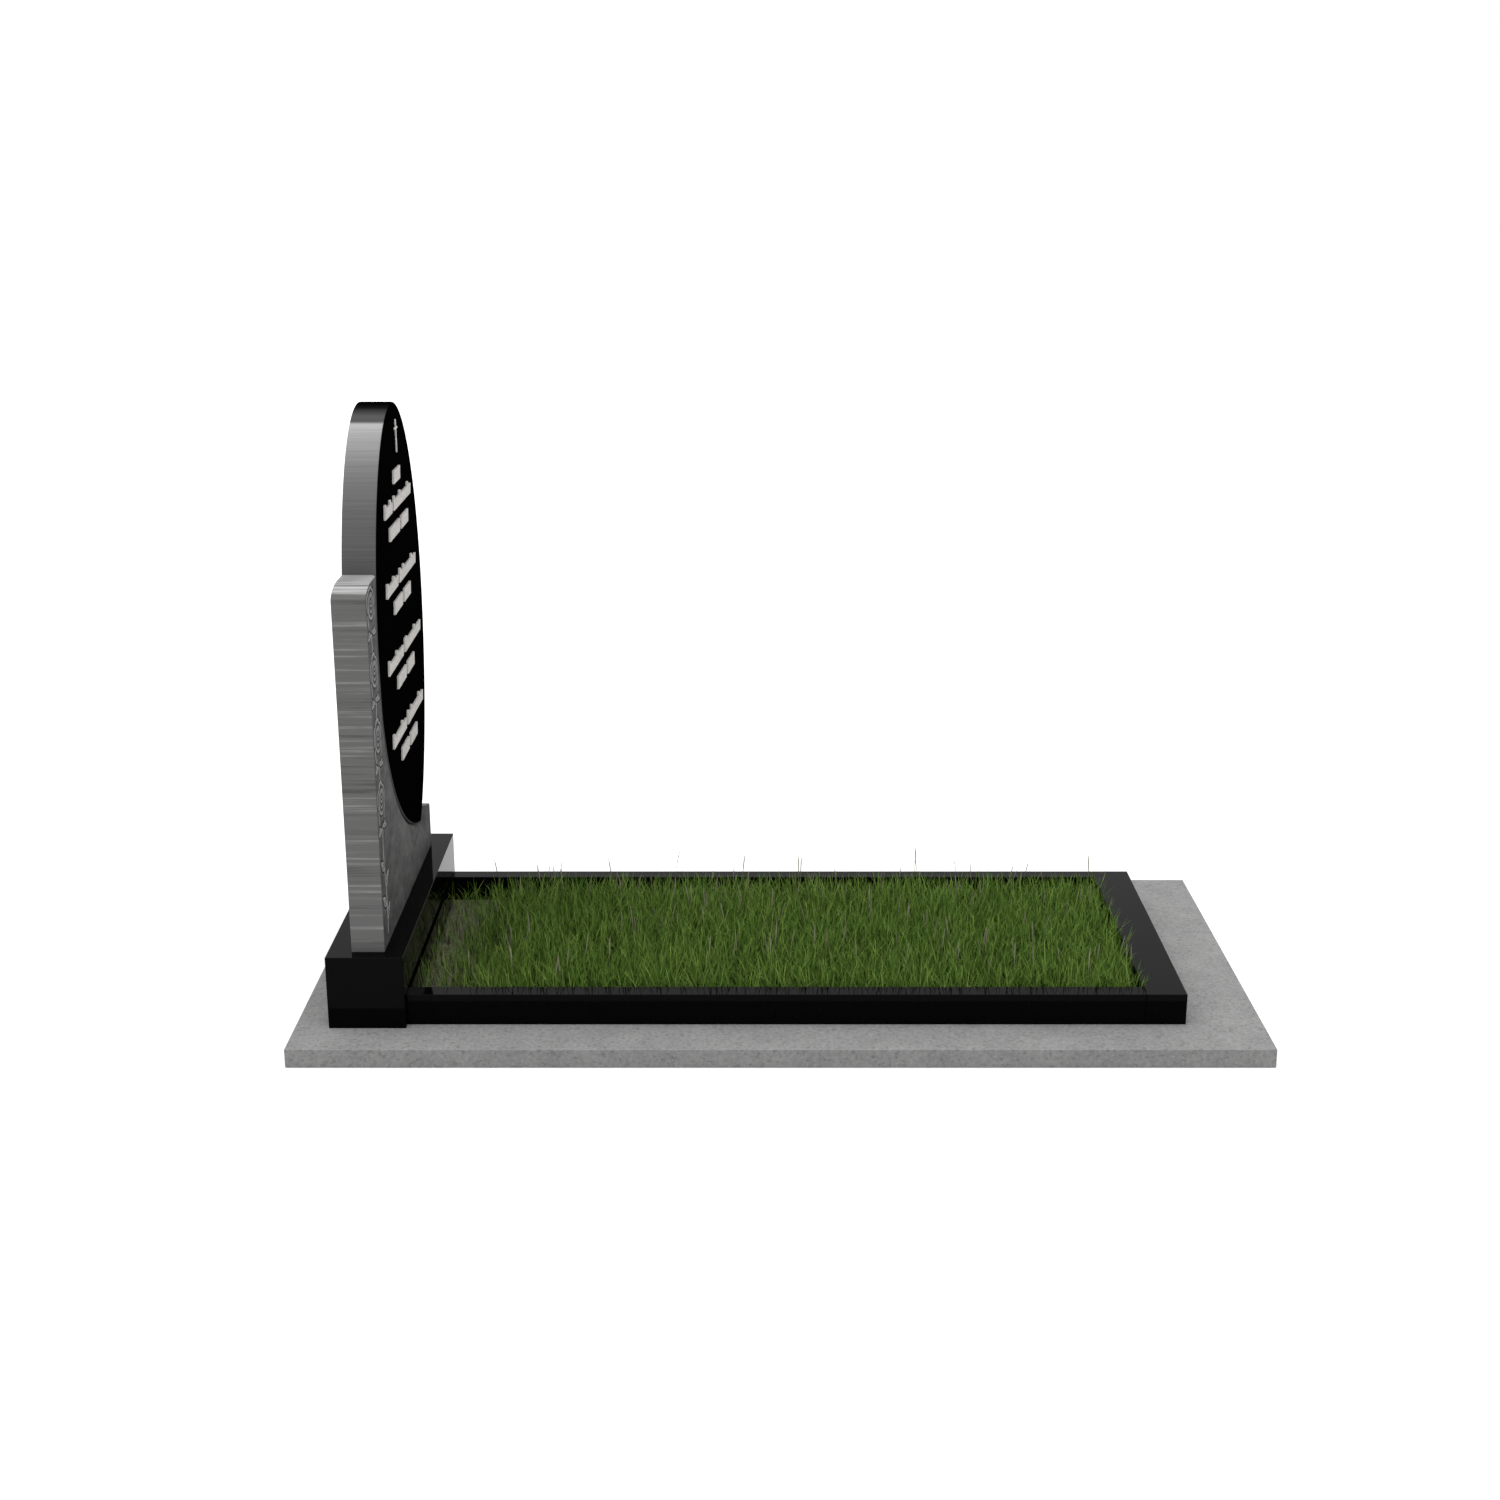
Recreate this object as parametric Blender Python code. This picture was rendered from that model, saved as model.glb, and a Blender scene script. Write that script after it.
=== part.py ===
# Granite headstone with a grey rose-carved surround, on a base, with a kerbed and grassed grave bed.
# Metres. The inscribed face looks along -Y, +Z is up, and the origin is under the middle of the slab.
import math

import bmesh
import bpy

# Fit between pieces that touch
JOINT_GAP = 0.0003

# Foundation slab
SLAB_LENGTH = 2.200
SLAB_WIDTH = 1.059
SLAB_THICKNESS = 0.044

# Base block under the headstone
BASE_LENGTH = 0.837
BASE_DEPTH = 0.175
BASE_HEIGHT = 0.172
BASE_BACK_MARGIN = 0.0785

# Kerb set
KERB_OUTER_WIDTH = 0.796
KERB_HEIGHT = 0.0736
SIDE_KERB_WIDTH = 0.044
FOOT_KERB_WIDTH = 0.093
FOOT_MARGIN = 0.177
HEAD_STRIP_THICKNESS = 0.004

# Polished edges
BLOCK_ARRIS = 0.001
SLAB_ARRIS = 0.001
TABLET_ARRIS = 0.003
SURROUND_ARRIS = 0.002

# Headstone: both stones have one thickness and stand a little in front of the base's middle
STONE_THICKNESS = 0.0755
STONE_FORWARD = 0.005

# Oval tablet, an egg of two half ellipses, placed from the middle of the base
TABLET_OFFSET = 0.052
TABLET_CENTRE_HEIGHT = 0.656
TABLET_HALF_WIDTH = 0.3206
TABLET_UPPER_HALF = 0.5195
TABLET_LOWER_HALF = 0.600
TABLET_STEPS = 84

# Cradle, the ellipse that the surround cuts across the tablet's foot, placed from the tablet's centre
CRADLE_OFFSET = 0.260
CRADLE_DROP = 0.039
CRADLE_HALF_WIDTH = 0.583
CRADLE_HALF_HEIGHT = 0.515
CRADLE_BEVEL_WIDTH = 0.010
CRADLE_BEVEL_DEPTH = 0.008

# Grey surround
SURROUND_LEFT = 0.385
SURROUND_RIGHT = 0.335
SHOULDER_HEIGHT = 0.834
SHOULDER_ROUND_WIDTH = 0.081
SHOULDER_ROUND_HEIGHT = 0.031
HORN_HEIGHT = 0.114
HORN_SLOPE = 0.274
HORN_ROUND = 0.008

# Carved roses on the surround's tall side
ROSE_HEIGHTS = (0.335, 0.480, 0.630, 0.782)
ROSE_INSET = 0.051
ROSE_HALF_WIDTH = 0.045
ROSE_HALF_HEIGHT = 0.056
CARVING_RELIEF = 0.002
CARVING_ROOT = 0.004
PETAL_SECTORS = 20
PETAL_COUNT = 5
PETAL_TURN = 1.7

# Rings of a bloom from its root to its heart: size, lift of the ring's centre, relief, depth of its lobes
ROSE_RINGS = (
    (1.00, 0.00, 0.00, 0.00),
    (0.97, 0.00, 0.35, 0.00),
    (0.80, 0.08, 0.95, 0.06),
    (0.66, 0.16, 0.50, 0.06),
    (0.57, 0.19, 1.00, 0.08),
    (0.42, 0.23, 0.55, 0.08),
    (0.34, 0.25, 1.00, 0.12),
    (0.20, 0.27, 0.60, 0.12),
    (0.11, 0.28, 1.00, 0.00),
)

# Leaves and stem
LEAF_LENGTH = 0.052
LEAF_WIDTH = 0.022
LEAF_RELIEF = 0.0015
LEAF_EDGE_SHARE = 0.2
LEAF_STEPS = 6
SEPAL_DROP = 0.75
SEPAL_DIRECTIONS = (205, 335)
LOW_LEAVES = ((0.10, 40), (0.22, 140), (0.36, 35), (0.50, 145))
STEM_WIDTH = 0.006
STEM_RELIEF = 0.001
STEM_SWAY = 0.006
STEM_FOOT = 0.025
STEM_STEPS = 18

# Raised inscription strokes and cross
STROKE_RELIEF = 0.005
STROKE_WIDTH = 0.009
STROKE_PITCH = 0.0165
STROKE_LEAN = 0.006
WORD_GAP = 0.022
CAPITAL_HEIGHT = 0.033
EVEN_HEIGHT = 0.030
SMALL_HEIGHT = 0.024
INSCRIPTION_OFFSET = 0.012
CROSS_OFFSET = 0.042
CROSS_FOOT_HEIGHT = 0.399
CROSS_HEIGHT = 0.076
CROSS_WIDTH = 0.034
CROSS_BAR = 0.005
CROSS_RELIEF = 0.003
CROSS_ARM_DROP = 0.020

# Rows of strokes: width of the row, strokes before the word gap, and foot height from the tablet's centre
INSCRIPTION_ROWS = (
    (0.084, 0, 0.336),
    (0.354, 6, 0.277),
    (0.251, 8, 0.218),
    (0.402, 9, 0.101),
    (0.224, 7, 0.044),
    (0.451, 12, -0.073),
    (0.231, 7, -0.133),
    (0.428, 11, -0.250),
    (0.219, 6, -0.309),
)

# Soil and grass
SOIL_DEPTH = 0.011
TURF_THICKNESS = 0.004
TUFT_SPACING = 0.050
TUFT_HEIGHT = 0.105
TUFT_HEAD_SHARE = 0.35
TUFT_HEAD_REACH = 0.30
TUFT_LEAN = 0.018

# Places that follow from the sizes above
SLAB_TOP = SLAB_THICKNESS
BASE_BACK = SLAB_LENGTH / 2 - BASE_BACK_MARGIN
BASE_FRONT = BASE_BACK - BASE_DEPTH
BASE_TOP = SLAB_TOP + JOINT_GAP + BASE_HEIGHT
STONE_FOOT = BASE_TOP + JOINT_GAP
STONE_MIDDLE = BASE_BACK - BASE_DEPTH / 2 - STONE_FORWARD
STONE_FRONT = STONE_MIDDLE - STONE_THICKNESS / 2
STONE_BACK = STONE_MIDDLE + STONE_THICKNESS / 2
TABLET_CENTRE = (TABLET_OFFSET, BASE_TOP + TABLET_CENTRE_HEIGHT)
ROSE_LINE = -SURROUND_LEFT + ROSE_INSET
KERB_FOOT = -SLAB_LENGTH / 2 + FOOT_MARGIN
BED_FOOT = KERB_FOOT + FOOT_KERB_WIDTH
BED_HEAD = BASE_FRONT - JOINT_GAP - HEAD_STRIP_THICKNESS
BED_HALF_WIDTH = KERB_OUTER_WIDTH / 2 - SIDE_KERB_WIDTH


def clear_scene():
    for old in list(bpy.data.objects):
        bpy.data.objects.remove(old, do_unlink=True)


def stone_material(name, colour, roughness):
    made = bpy.data.materials.new(name)
    made.use_nodes = True
    shader = made.node_tree.nodes["Principled BSDF"]
    shader.inputs["Base Color"].default_value = (*colour, 1.0)
    shader.inputs["Roughness"].default_value = roughness
    shader.inputs["Metallic"].default_value = 0.0
    made.diffuse_color = (*colour, 1.0)
    return made


def add_object(name, bm, finish):
    bmesh.ops.recalc_face_normals(bm, faces=bm.faces)
    mesh = bpy.data.meshes.new(name)
    bm.to_mesh(mesh)
    bm.free()
    made = bpy.data.objects.new(name, mesh)
    bpy.context.scene.collection.objects.link(made)
    if finish is not None:
        mesh.materials.append(finish)
    return made


def add_arris(piece, width):
    bevel = piece.modifiers.new("arris", "BEVEL")
    bevel.width = width
    bevel.segments = 1
    bevel.limit_method = "ANGLE"
    bevel.angle_limit = math.radians(40)


def make_block(name, low, high, finish, arris):
    # A squared block between two corners, with its arrises taken off
    size = [b - a for a, b in zip(low, high)]
    bm = bmesh.new()
    bmesh.ops.create_cube(bm, size=1.0)
    bmesh.ops.scale(bm, vec=size, verts=bm.verts)
    piece = add_object(name, bm, finish)
    piece.location = [(a + b) / 2 for a, b in zip(low, high)]
    add_arris(piece, arris)
    return piece


def ring_solid(name, rings, finish):
    # A closed solid through rings of (x, y, z) points that all have as many points
    bm = bmesh.new()
    loops = [[bm.verts.new(point) for point in ring] for ring in rings]
    for low, high in zip(loops, loops[1:]):
        for i in range(len(low)):
            j = (i + 1) % len(low)
            bm.faces.new((low[i], low[j], high[j], high[i]))
    bm.faces.new(loops[0])
    bm.faces.new(loops[-1])
    return add_object(name, bm, finish)


def stand_outline(outline, y):
    return [(x, y, z) for x, z in outline]


def offset_outline(outline, distance):
    # Moves a closed anticlockwise outline outwards, each point along the mean of its edges' normals
    moved = []
    for i, (x, z) in enumerate(outline):
        before = outline[i - 1]
        after = outline[(i + 1) % len(outline)]
        first = unit(z - before[1], before[0] - x)
        second = unit(after[1] - z, x - after[0])
        normal = unit(first[0] + second[0], first[1] + second[1])
        reach = distance / max(0.5, normal[0] * first[0] + normal[1] * first[1])
        moved.append((x + normal[0] * reach, z + normal[1] * reach))
    return moved


def unit(x, z):
    length = math.hypot(x, z)
    return x / length, z / length


def egg_radius(angle):
    # Distance from the tablet's centre to its oval edge
    tall = TABLET_UPPER_HALF if math.sin(angle) > 0 else TABLET_LOWER_HALF
    return 1 / math.hypot(math.cos(angle) / TABLET_HALF_WIDTH, math.sin(angle) / tall)


def cradle_radius(angle):
    # Distance from the tablet's centre to the cradle's ellipse
    across = math.cos(angle) / CRADLE_HALF_WIDTH
    along = math.sin(angle) / CRADLE_HALF_HEIGHT
    x = -CRADLE_OFFSET / CRADLE_HALF_WIDTH
    z = CRADLE_DROP / CRADLE_HALF_HEIGHT
    a = across ** 2 + along ** 2
    b = x * across + z * along
    c = x ** 2 + z ** 2 - 1
    return (-b + math.sqrt(b * b - a * c)) / a


def cradle_heel_angle():
    # Direction of the corner where the cradle meets the oval at the foot, found by halving
    low, high = -math.pi / 2, 0.0
    for _ in range(40):
        middle = (low + high) / 2
        if cradle_radius(middle) < egg_radius(middle):
            low = middle
        else:
            high = middle
    return low


def tablet_outline():
    # Anticlockwise from the cradle's heel, seen from the front
    start = cradle_heel_angle()
    points = []
    for i in range(TABLET_STEPS):
        angle = start + math.tau * i / TABLET_STEPS
        radius = egg_radius(angle)
        if math.sin(angle) < 0:
            radius = min(radius, cradle_radius(angle))
        x = TABLET_CENTRE[0] + radius * math.cos(angle)
        points.append((x, TABLET_CENTRE[1] + radius * math.sin(angle)))
    return points


def surround_outline():
    # Outer edge, anticlockwise; two points between horn and shoulder lie inside the tablet's cut
    left, right = -SURROUND_LEFT, SURROUND_RIGHT
    shoulder = BASE_TOP + SHOULDER_HEIGHT
    horn = BASE_TOP + HORN_HEIGHT
    points = [(left, STONE_FOOT), (right, STONE_FOOT)]
    for i in range(4):
        turn = math.radians(30 * i)
        x = right - HORN_ROUND + HORN_ROUND * math.cos(turn)
        points.append((x, horn - HORN_ROUND + HORN_ROUND * math.sin(turn)))
    inner = TABLET_CENTRE[0] + TABLET_HALF_WIDTH * 0.3
    points.append((inner, horn + HORN_SLOPE * (right - HORN_ROUND - inner)))
    points.append((TABLET_CENTRE[0] - TABLET_HALF_WIDTH * 0.7, shoulder))
    for i in range(7):
        turn = math.radians(90 + 15 * i)
        x = left + SHOULDER_ROUND_WIDTH * (1 + math.cos(turn))
        points.append((x, shoulder - SHOULDER_ROUND_HEIGHT * (1 - math.sin(turn))))
    return points


def make_inscription():
    # Plain raised strokes in rows, with a gap between words; they form no letters. Every other row
    # has strokes of one height, and the rows between mix tall and small ones.
    strokes = []
    face = STONE_FRONT - STROKE_RELIEF
    root = STONE_FRONT + CARVING_ROOT
    for row, (width, first_word, foot) in enumerate(INSCRIPTION_ROWS):
        gap = WORD_GAP if first_word else 0.0
        run = width - gap - STROKE_WIDTH
        spaces = max(1, round(run / STROKE_PITCH))
        for i in range(spaces + 1):
            x = TABLET_CENTRE[0] + INSCRIPTION_OFFSET - width / 2 + run * i / spaces
            x += gap if first_word and i >= first_word else 0.0
            starts_word = i == 0 or i == first_word
            mixed = CAPITAL_HEIGHT if starts_word or (i * 5 + row) % 7 == 0 else SMALL_HEIGHT
            rise = EVEN_HEIGHT if row % 2 == 0 else mixed
            lean = STROKE_LEAN * rise / CAPITAL_HEIGHT
            z = TABLET_CENTRE[1] + foot
            right = x + STROKE_WIDTH
            corners = ((x, z), (right, z), (right + lean, z + rise), (x + lean, z + rise))
            rings = [stand_outline(corners, root), stand_outline(corners, face)]
            strokes.append(ring_solid("stroke", rings, None))
    return strokes


def make_cross():
    # Upright and arms of the small raised cross as one outline
    middle = TABLET_CENTRE[0] + CROSS_OFFSET
    foot = TABLET_CENTRE[1] + CROSS_FOOT_HEIGHT
    top = foot + CROSS_HEIGHT
    arm = top - CROSS_ARM_DROP
    bar, reach = CROSS_BAR / 2, CROSS_WIDTH / 2
    right = [
        (bar, foot), (bar, arm - bar), (reach, arm - bar),
        (reach, arm + bar), (bar, arm + bar), (bar, top),
    ]
    outline = [(middle + x, z) for x, z in right] + [(middle - x, z) for x, z in reversed(right)]
    rings = [
        stand_outline(outline, STONE_FRONT + CARVING_ROOT),
        stand_outline(outline, STONE_FRONT - CROSS_RELIEF),
    ]
    return ring_solid("cross", rings, None)


def hide_cutter(piece, collection):
    piece.hide_render = True
    piece.display_type = "WIRE"
    bpy.context.scene.collection.objects.unlink(piece)
    collection.objects.link(piece)


def join_carving(piece, carved, name):
    # Unites carved shapes with the stone that they are cut from
    collection = bpy.data.collections.new(name)
    bpy.context.scene.collection.children.link(collection)
    for shape in carved:
        hide_cutter(shape, collection)
    union = piece.modifiers.new(name, "BOOLEAN")
    union.operation = "UNION"
    union.solver = "EXACT"
    union.operand_type = "COLLECTION"
    union.collection = collection


def make_tablet(finish):
    outline = tablet_outline()
    inner = offset_outline(outline, -TABLET_ARRIS)
    tablet = ring_solid("oval_tablet", [
        stand_outline(inner, STONE_FRONT),
        stand_outline(outline, STONE_FRONT + TABLET_ARRIS),
        stand_outline(outline, STONE_BACK - TABLET_ARRIS),
        stand_outline(inner, STONE_BACK),
    ], finish)
    join_carving(tablet, make_inscription() + [make_cross()], "inscription")
    return tablet


def make_rose(height):
    # The bloom is an oval whose rings of petals crowd towards its upper half
    def bloom_ring(y, size, lift, lobe, turn):
        loop = []
        for i in range(PETAL_SECTORS):
            angle = math.tau * i / PETAL_SECTORS
            reach = size * (1 + lobe * math.cos(PETAL_COUNT * angle + turn))
            x = ROSE_LINE + ROSE_HALF_WIDTH * reach * math.cos(angle)
            z = BASE_TOP + height + ROSE_HALF_HEIGHT * (lift + reach * math.sin(angle))
            loop.append((x, y, z))
        return loop

    loops = [bloom_ring(STONE_FRONT + CARVING_ROOT, 1.0, 0.0, 0.0, 0.0)]
    for k, (size, lift, relief, lobe) in enumerate(ROSE_RINGS):
        loops.append(bloom_ring(STONE_FRONT - CARVING_RELIEF * relief, size, lift, lobe, PETAL_TURN * k))
    return ring_solid("rose", loops, None)


def make_leaf(root_x, root_z, direction):
    # A pointed leaf with a raised rib, growing from its root in the given direction
    along = (math.cos(direction), math.sin(direction))
    across = (-along[1], along[0])
    bm = bmesh.new()
    rows = []
    for i in range(1, LEAF_STEPS):
        t = i / LEAF_STEPS
        half = LEAF_WIDTH / 2 * math.sin(math.pi * t ** 0.8)
        row = []
        edge = LEAF_EDGE_SHARE * LEAF_RELIEF
        section = ((-1, -CARVING_ROOT), (-1, edge), (0, LEAF_RELIEF), (1, edge), (1, -CARVING_ROOT))
        for side, relief in section:
            x = root_x + along[0] * LEAF_LENGTH * t + across[0] * half * side
            z = root_z + along[1] * LEAF_LENGTH * t + across[1] * half * side
            row.append(bm.verts.new((x, STONE_FRONT - relief, z)))
        rows.append(row)
    for low, high in zip(rows, rows[1:]):
        for i in range(len(low)):
            j = (i + 1) % len(low)
            bm.faces.new((low[i], low[j], high[j], high[i]))
    for row, reach in ((rows[0], 0.0), (rows[-1], LEAF_LENGTH)):
        tip_x, tip_z = root_x + along[0] * reach, root_z + along[1] * reach
        tip = bm.verts.new((tip_x, STONE_FRONT + CARVING_ROOT / 2, tip_z))
        for i in range(len(row)):
            bm.faces.new((row[i], row[(i + 1) % len(row)], tip))
    return add_object("leaf", bm, None)


def make_stem():
    # A swaying stem of triangular section, from near the surround's foot up into the top rose
    rings = []
    top = ROSE_HEIGHTS[-1]
    for i in range(STEM_STEPS + 1):
        t = i / STEM_STEPS
        x = ROSE_LINE + STEM_SWAY * math.sin(3 * math.tau * t)
        z = BASE_TOP + STEM_FOOT + (top - STEM_FOOT) * t
        half = STEM_WIDTH / 2
        rings.append([
            (x - half, STONE_FRONT + CARVING_ROOT / 2, z),
            (x + half, STONE_FRONT + CARVING_ROOT / 2, z),
            (x, STONE_FRONT - STEM_RELIEF, z),
        ])
    return ring_solid("stem", rings, None)


def make_surround(finish):
    outline = surround_outline()
    surround = ring_solid("rose_surround", [
        stand_outline(outline, STONE_FRONT),
        stand_outline(outline, STONE_BACK),
    ], finish)
    add_arris(surround, SURROUND_ARRIS)

    # The cut that takes the tablet, opened by a bevel at the front
    beyond = 0.01
    bed = offset_outline(tablet_outline(), JOINT_GAP)
    mouth = offset_outline(tablet_outline(), JOINT_GAP + CRADLE_BEVEL_WIDTH)
    cutter = ring_solid("tablet_cut", [
        stand_outline(mouth, STONE_FRONT - beyond),
        stand_outline(mouth, STONE_FRONT),
        stand_outline(bed, STONE_FRONT + CRADLE_BEVEL_DEPTH),
        stand_outline(bed, STONE_BACK + beyond),
    ], None)
    cuts = bpy.data.collections.new("cuts")
    bpy.context.scene.collection.children.link(cuts)
    hide_cutter(cutter, cuts)
    cut = surround.modifiers.new("cradle", "BOOLEAN")
    cut.operation = "DIFFERENCE"
    cut.solver = "EXACT"
    cut.object = cutter

    carving = [make_stem()]
    carving += [make_rose(height) for height in ROSE_HEIGHTS]
    for height in ROSE_HEIGHTS:
        under = BASE_TOP + height - ROSE_HALF_HEIGHT * SEPAL_DROP
        for direction in SEPAL_DIRECTIONS:
            carving.append(make_leaf(ROSE_LINE, under, math.radians(direction)))
    for share, direction in LOW_LEAVES:
        z = BASE_TOP + STEM_FOOT + (ROSE_HEIGHTS[0] - STEM_FOOT) * share
        carving.append(make_leaf(ROSE_LINE, z, math.radians(direction)))
    join_carving(surround, carving, "carving")
    return surround


def make_kerbs(finish):
    half = KERB_OUTER_WIDTH / 2
    low, high = SLAB_TOP + JOINT_GAP, SLAB_TOP + JOINT_GAP + KERB_HEIGHT
    back = BASE_FRONT - JOINT_GAP
    for name, near, far in (("left_kerb", -half, -BED_HALF_WIDTH), ("right_kerb", BED_HALF_WIDTH, half)):
        make_block(name, (near, BED_FOOT + JOINT_GAP, low), (far, back, high), finish, BLOCK_ARRIS)
    make_block("foot_kerb", (-half, KERB_FOOT, low), (half, BED_FOOT, high), finish, BLOCK_ARRIS)
    strip = BED_HALF_WIDTH - JOINT_GAP
    make_block("head_strip", (-strip, BED_HEAD, low), (strip, back, high), finish, SLAB_ARRIS)


def make_grass(finish):
    # A thin turf with pointed tufts, lower at the head of the bed where the ground shows
    side = BED_HALF_WIDTH - JOINT_GAP
    foot, head = BED_FOOT + JOINT_GAP, BED_HEAD - JOINT_GAP
    bottom = SLAB_TOP + SOIL_DEPTH + 2 * JOINT_GAP
    top = bottom + TURF_THICKNESS
    columns = max(2, round(2 * side / TUFT_SPACING))
    rows = max(2, round((head - foot) / TUFT_SPACING))
    bm = bmesh.new()
    grid = []
    for j in range(rows + 1):
        y = foot + (head - foot) * j / rows
        grid.append([bm.verts.new((side * (2 * i / columns - 1), y, top)) for i in range(columns + 1)])
    for j in range(rows):
        for i in range(columns):
            corners = (grid[j][i], grid[j][i + 1], grid[j + 1][i + 1], grid[j + 1][i])
            middle_y = foot + (head - foot) * (j + 0.5) / rows
            reach = (head - middle_y) / (head - foot) / TUFT_HEAD_REACH
            share = min(1.0, TUFT_HEAD_SHARE + (1 - TUFT_HEAD_SHARE) * reach)
            wave = 0.8 + 0.2 * math.sin(12.9898 * i + 78.233 * j)
            lean_x = TUFT_LEAN * math.sin(4.1 * i + 2.3 * j)
            lean_y = TUFT_LEAN * math.cos(3.7 * i - 1.9 * j)
            x = side * ((2 * i + 1) / columns - 1)
            tip = bm.verts.new((x + lean_x, middle_y + lean_y, top + TUFT_HEIGHT * share * wave))
            for a in range(4):
                bm.faces.new((corners[a], corners[(a + 1) % 4], tip))
    rim = grid[0] + [row[-1] for row in grid[1:]] + grid[-1][-2::-1] + [row[0] for row in grid[-2:0:-1]]
    under = [bm.verts.new((vert.co.x, vert.co.y, bottom)) for vert in rim]
    for i in range(len(rim)):
        j = (i + 1) % len(rim)
        bm.faces.new((rim[i], rim[j], under[j], under[i]))
    bm.faces.new(under)
    return add_object("grass", bm, finish)


def main():
    clear_scene()
    black = stone_material("black_granite", (0.012, 0.012, 0.013), 0.08)
    grey = stone_material("grey_granite", (0.135, 0.135, 0.130), 0.60)
    pale = stone_material("slab_stone", (0.300, 0.300, 0.295), 0.75)
    earth = stone_material("soil", (0.075, 0.062, 0.045), 0.95)
    green = stone_material("grass", (0.055, 0.110, 0.018), 0.70)

    half_width, half_length = SLAB_WIDTH / 2, SLAB_LENGTH / 2
    make_block("foundation_slab", (-half_width, -half_length, 0),
               (half_width, half_length, SLAB_TOP), pale, SLAB_ARRIS)
    make_block("base_block", (-BASE_LENGTH / 2, BASE_FRONT, SLAB_TOP + JOINT_GAP),
               (BASE_LENGTH / 2, BASE_BACK, BASE_TOP), black, BLOCK_ARRIS)
    make_kerbs(black)
    make_tablet(black)
    make_surround(grey)
    soil_side = BED_HALF_WIDTH - JOINT_GAP
    soil_low = SLAB_TOP + JOINT_GAP
    make_block("soil_bed", (-soil_side, BED_FOOT + JOINT_GAP, soil_low),
               (soil_side, BED_HEAD - JOINT_GAP, soil_low + SOIL_DEPTH), earth, SLAB_ARRIS)
    make_grass(green)


main()
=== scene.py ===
# Headstone: a black oval tablet in a grey rose-carved surround, over a kerbed and grassed bed.
import math

import bmesh
import bpy
import numpy as np
from mathutils import Matrix, Vector, noise


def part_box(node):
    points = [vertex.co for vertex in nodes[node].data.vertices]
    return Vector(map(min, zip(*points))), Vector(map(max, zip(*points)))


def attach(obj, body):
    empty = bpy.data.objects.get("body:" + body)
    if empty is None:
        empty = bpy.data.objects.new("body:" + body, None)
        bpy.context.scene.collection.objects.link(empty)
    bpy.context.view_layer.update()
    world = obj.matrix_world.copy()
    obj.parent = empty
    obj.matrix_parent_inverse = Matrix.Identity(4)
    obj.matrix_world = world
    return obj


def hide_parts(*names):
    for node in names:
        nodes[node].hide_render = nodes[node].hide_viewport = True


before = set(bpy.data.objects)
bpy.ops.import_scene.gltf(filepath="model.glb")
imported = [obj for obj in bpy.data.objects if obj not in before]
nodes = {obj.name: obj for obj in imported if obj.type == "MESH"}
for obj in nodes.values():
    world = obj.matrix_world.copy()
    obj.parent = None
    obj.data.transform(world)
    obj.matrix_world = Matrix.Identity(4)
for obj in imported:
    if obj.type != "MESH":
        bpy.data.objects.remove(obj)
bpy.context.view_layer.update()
print("frame loaded:", len(nodes), "nodes")


class Link:
    # An output socket; arithmetic on it adds Math nodes
    def __init__(self, graph, socket):
        self.graph = graph
        self.socket = socket

    def __getitem__(self, name):
        return Link(self.graph, self.socket.node.outputs[name])

    def math(self, operation, *others):
        return self.graph.add("ShaderNodeMath", {"operation": operation}, [self, *others])

    def clamped(self):
        return self.graph.add("ShaderNodeMath", {"operation": "ADD", "use_clamp": True}, [self, 0.0])

    def __add__(self, other):
        return self.math("ADD", other)

    def __sub__(self, other):
        return self.math("SUBTRACT", other)

    def __rsub__(self, other):
        return self.graph.add("ShaderNodeMath", {"operation": "SUBTRACT"}, [other, self])

    def __mul__(self, other):
        return self.math("MULTIPLY", other)

    def __truediv__(self, other):
        return self.math("DIVIDE", other)

    def __rtruediv__(self, other):
        return self.graph.add("ShaderNodeMath", {"operation": "DIVIDE"}, [other, self])

    def __pow__(self, other):
        return self.math("POWER", other)

    __radd__ = __add__
    __rmul__ = __mul__


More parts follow.
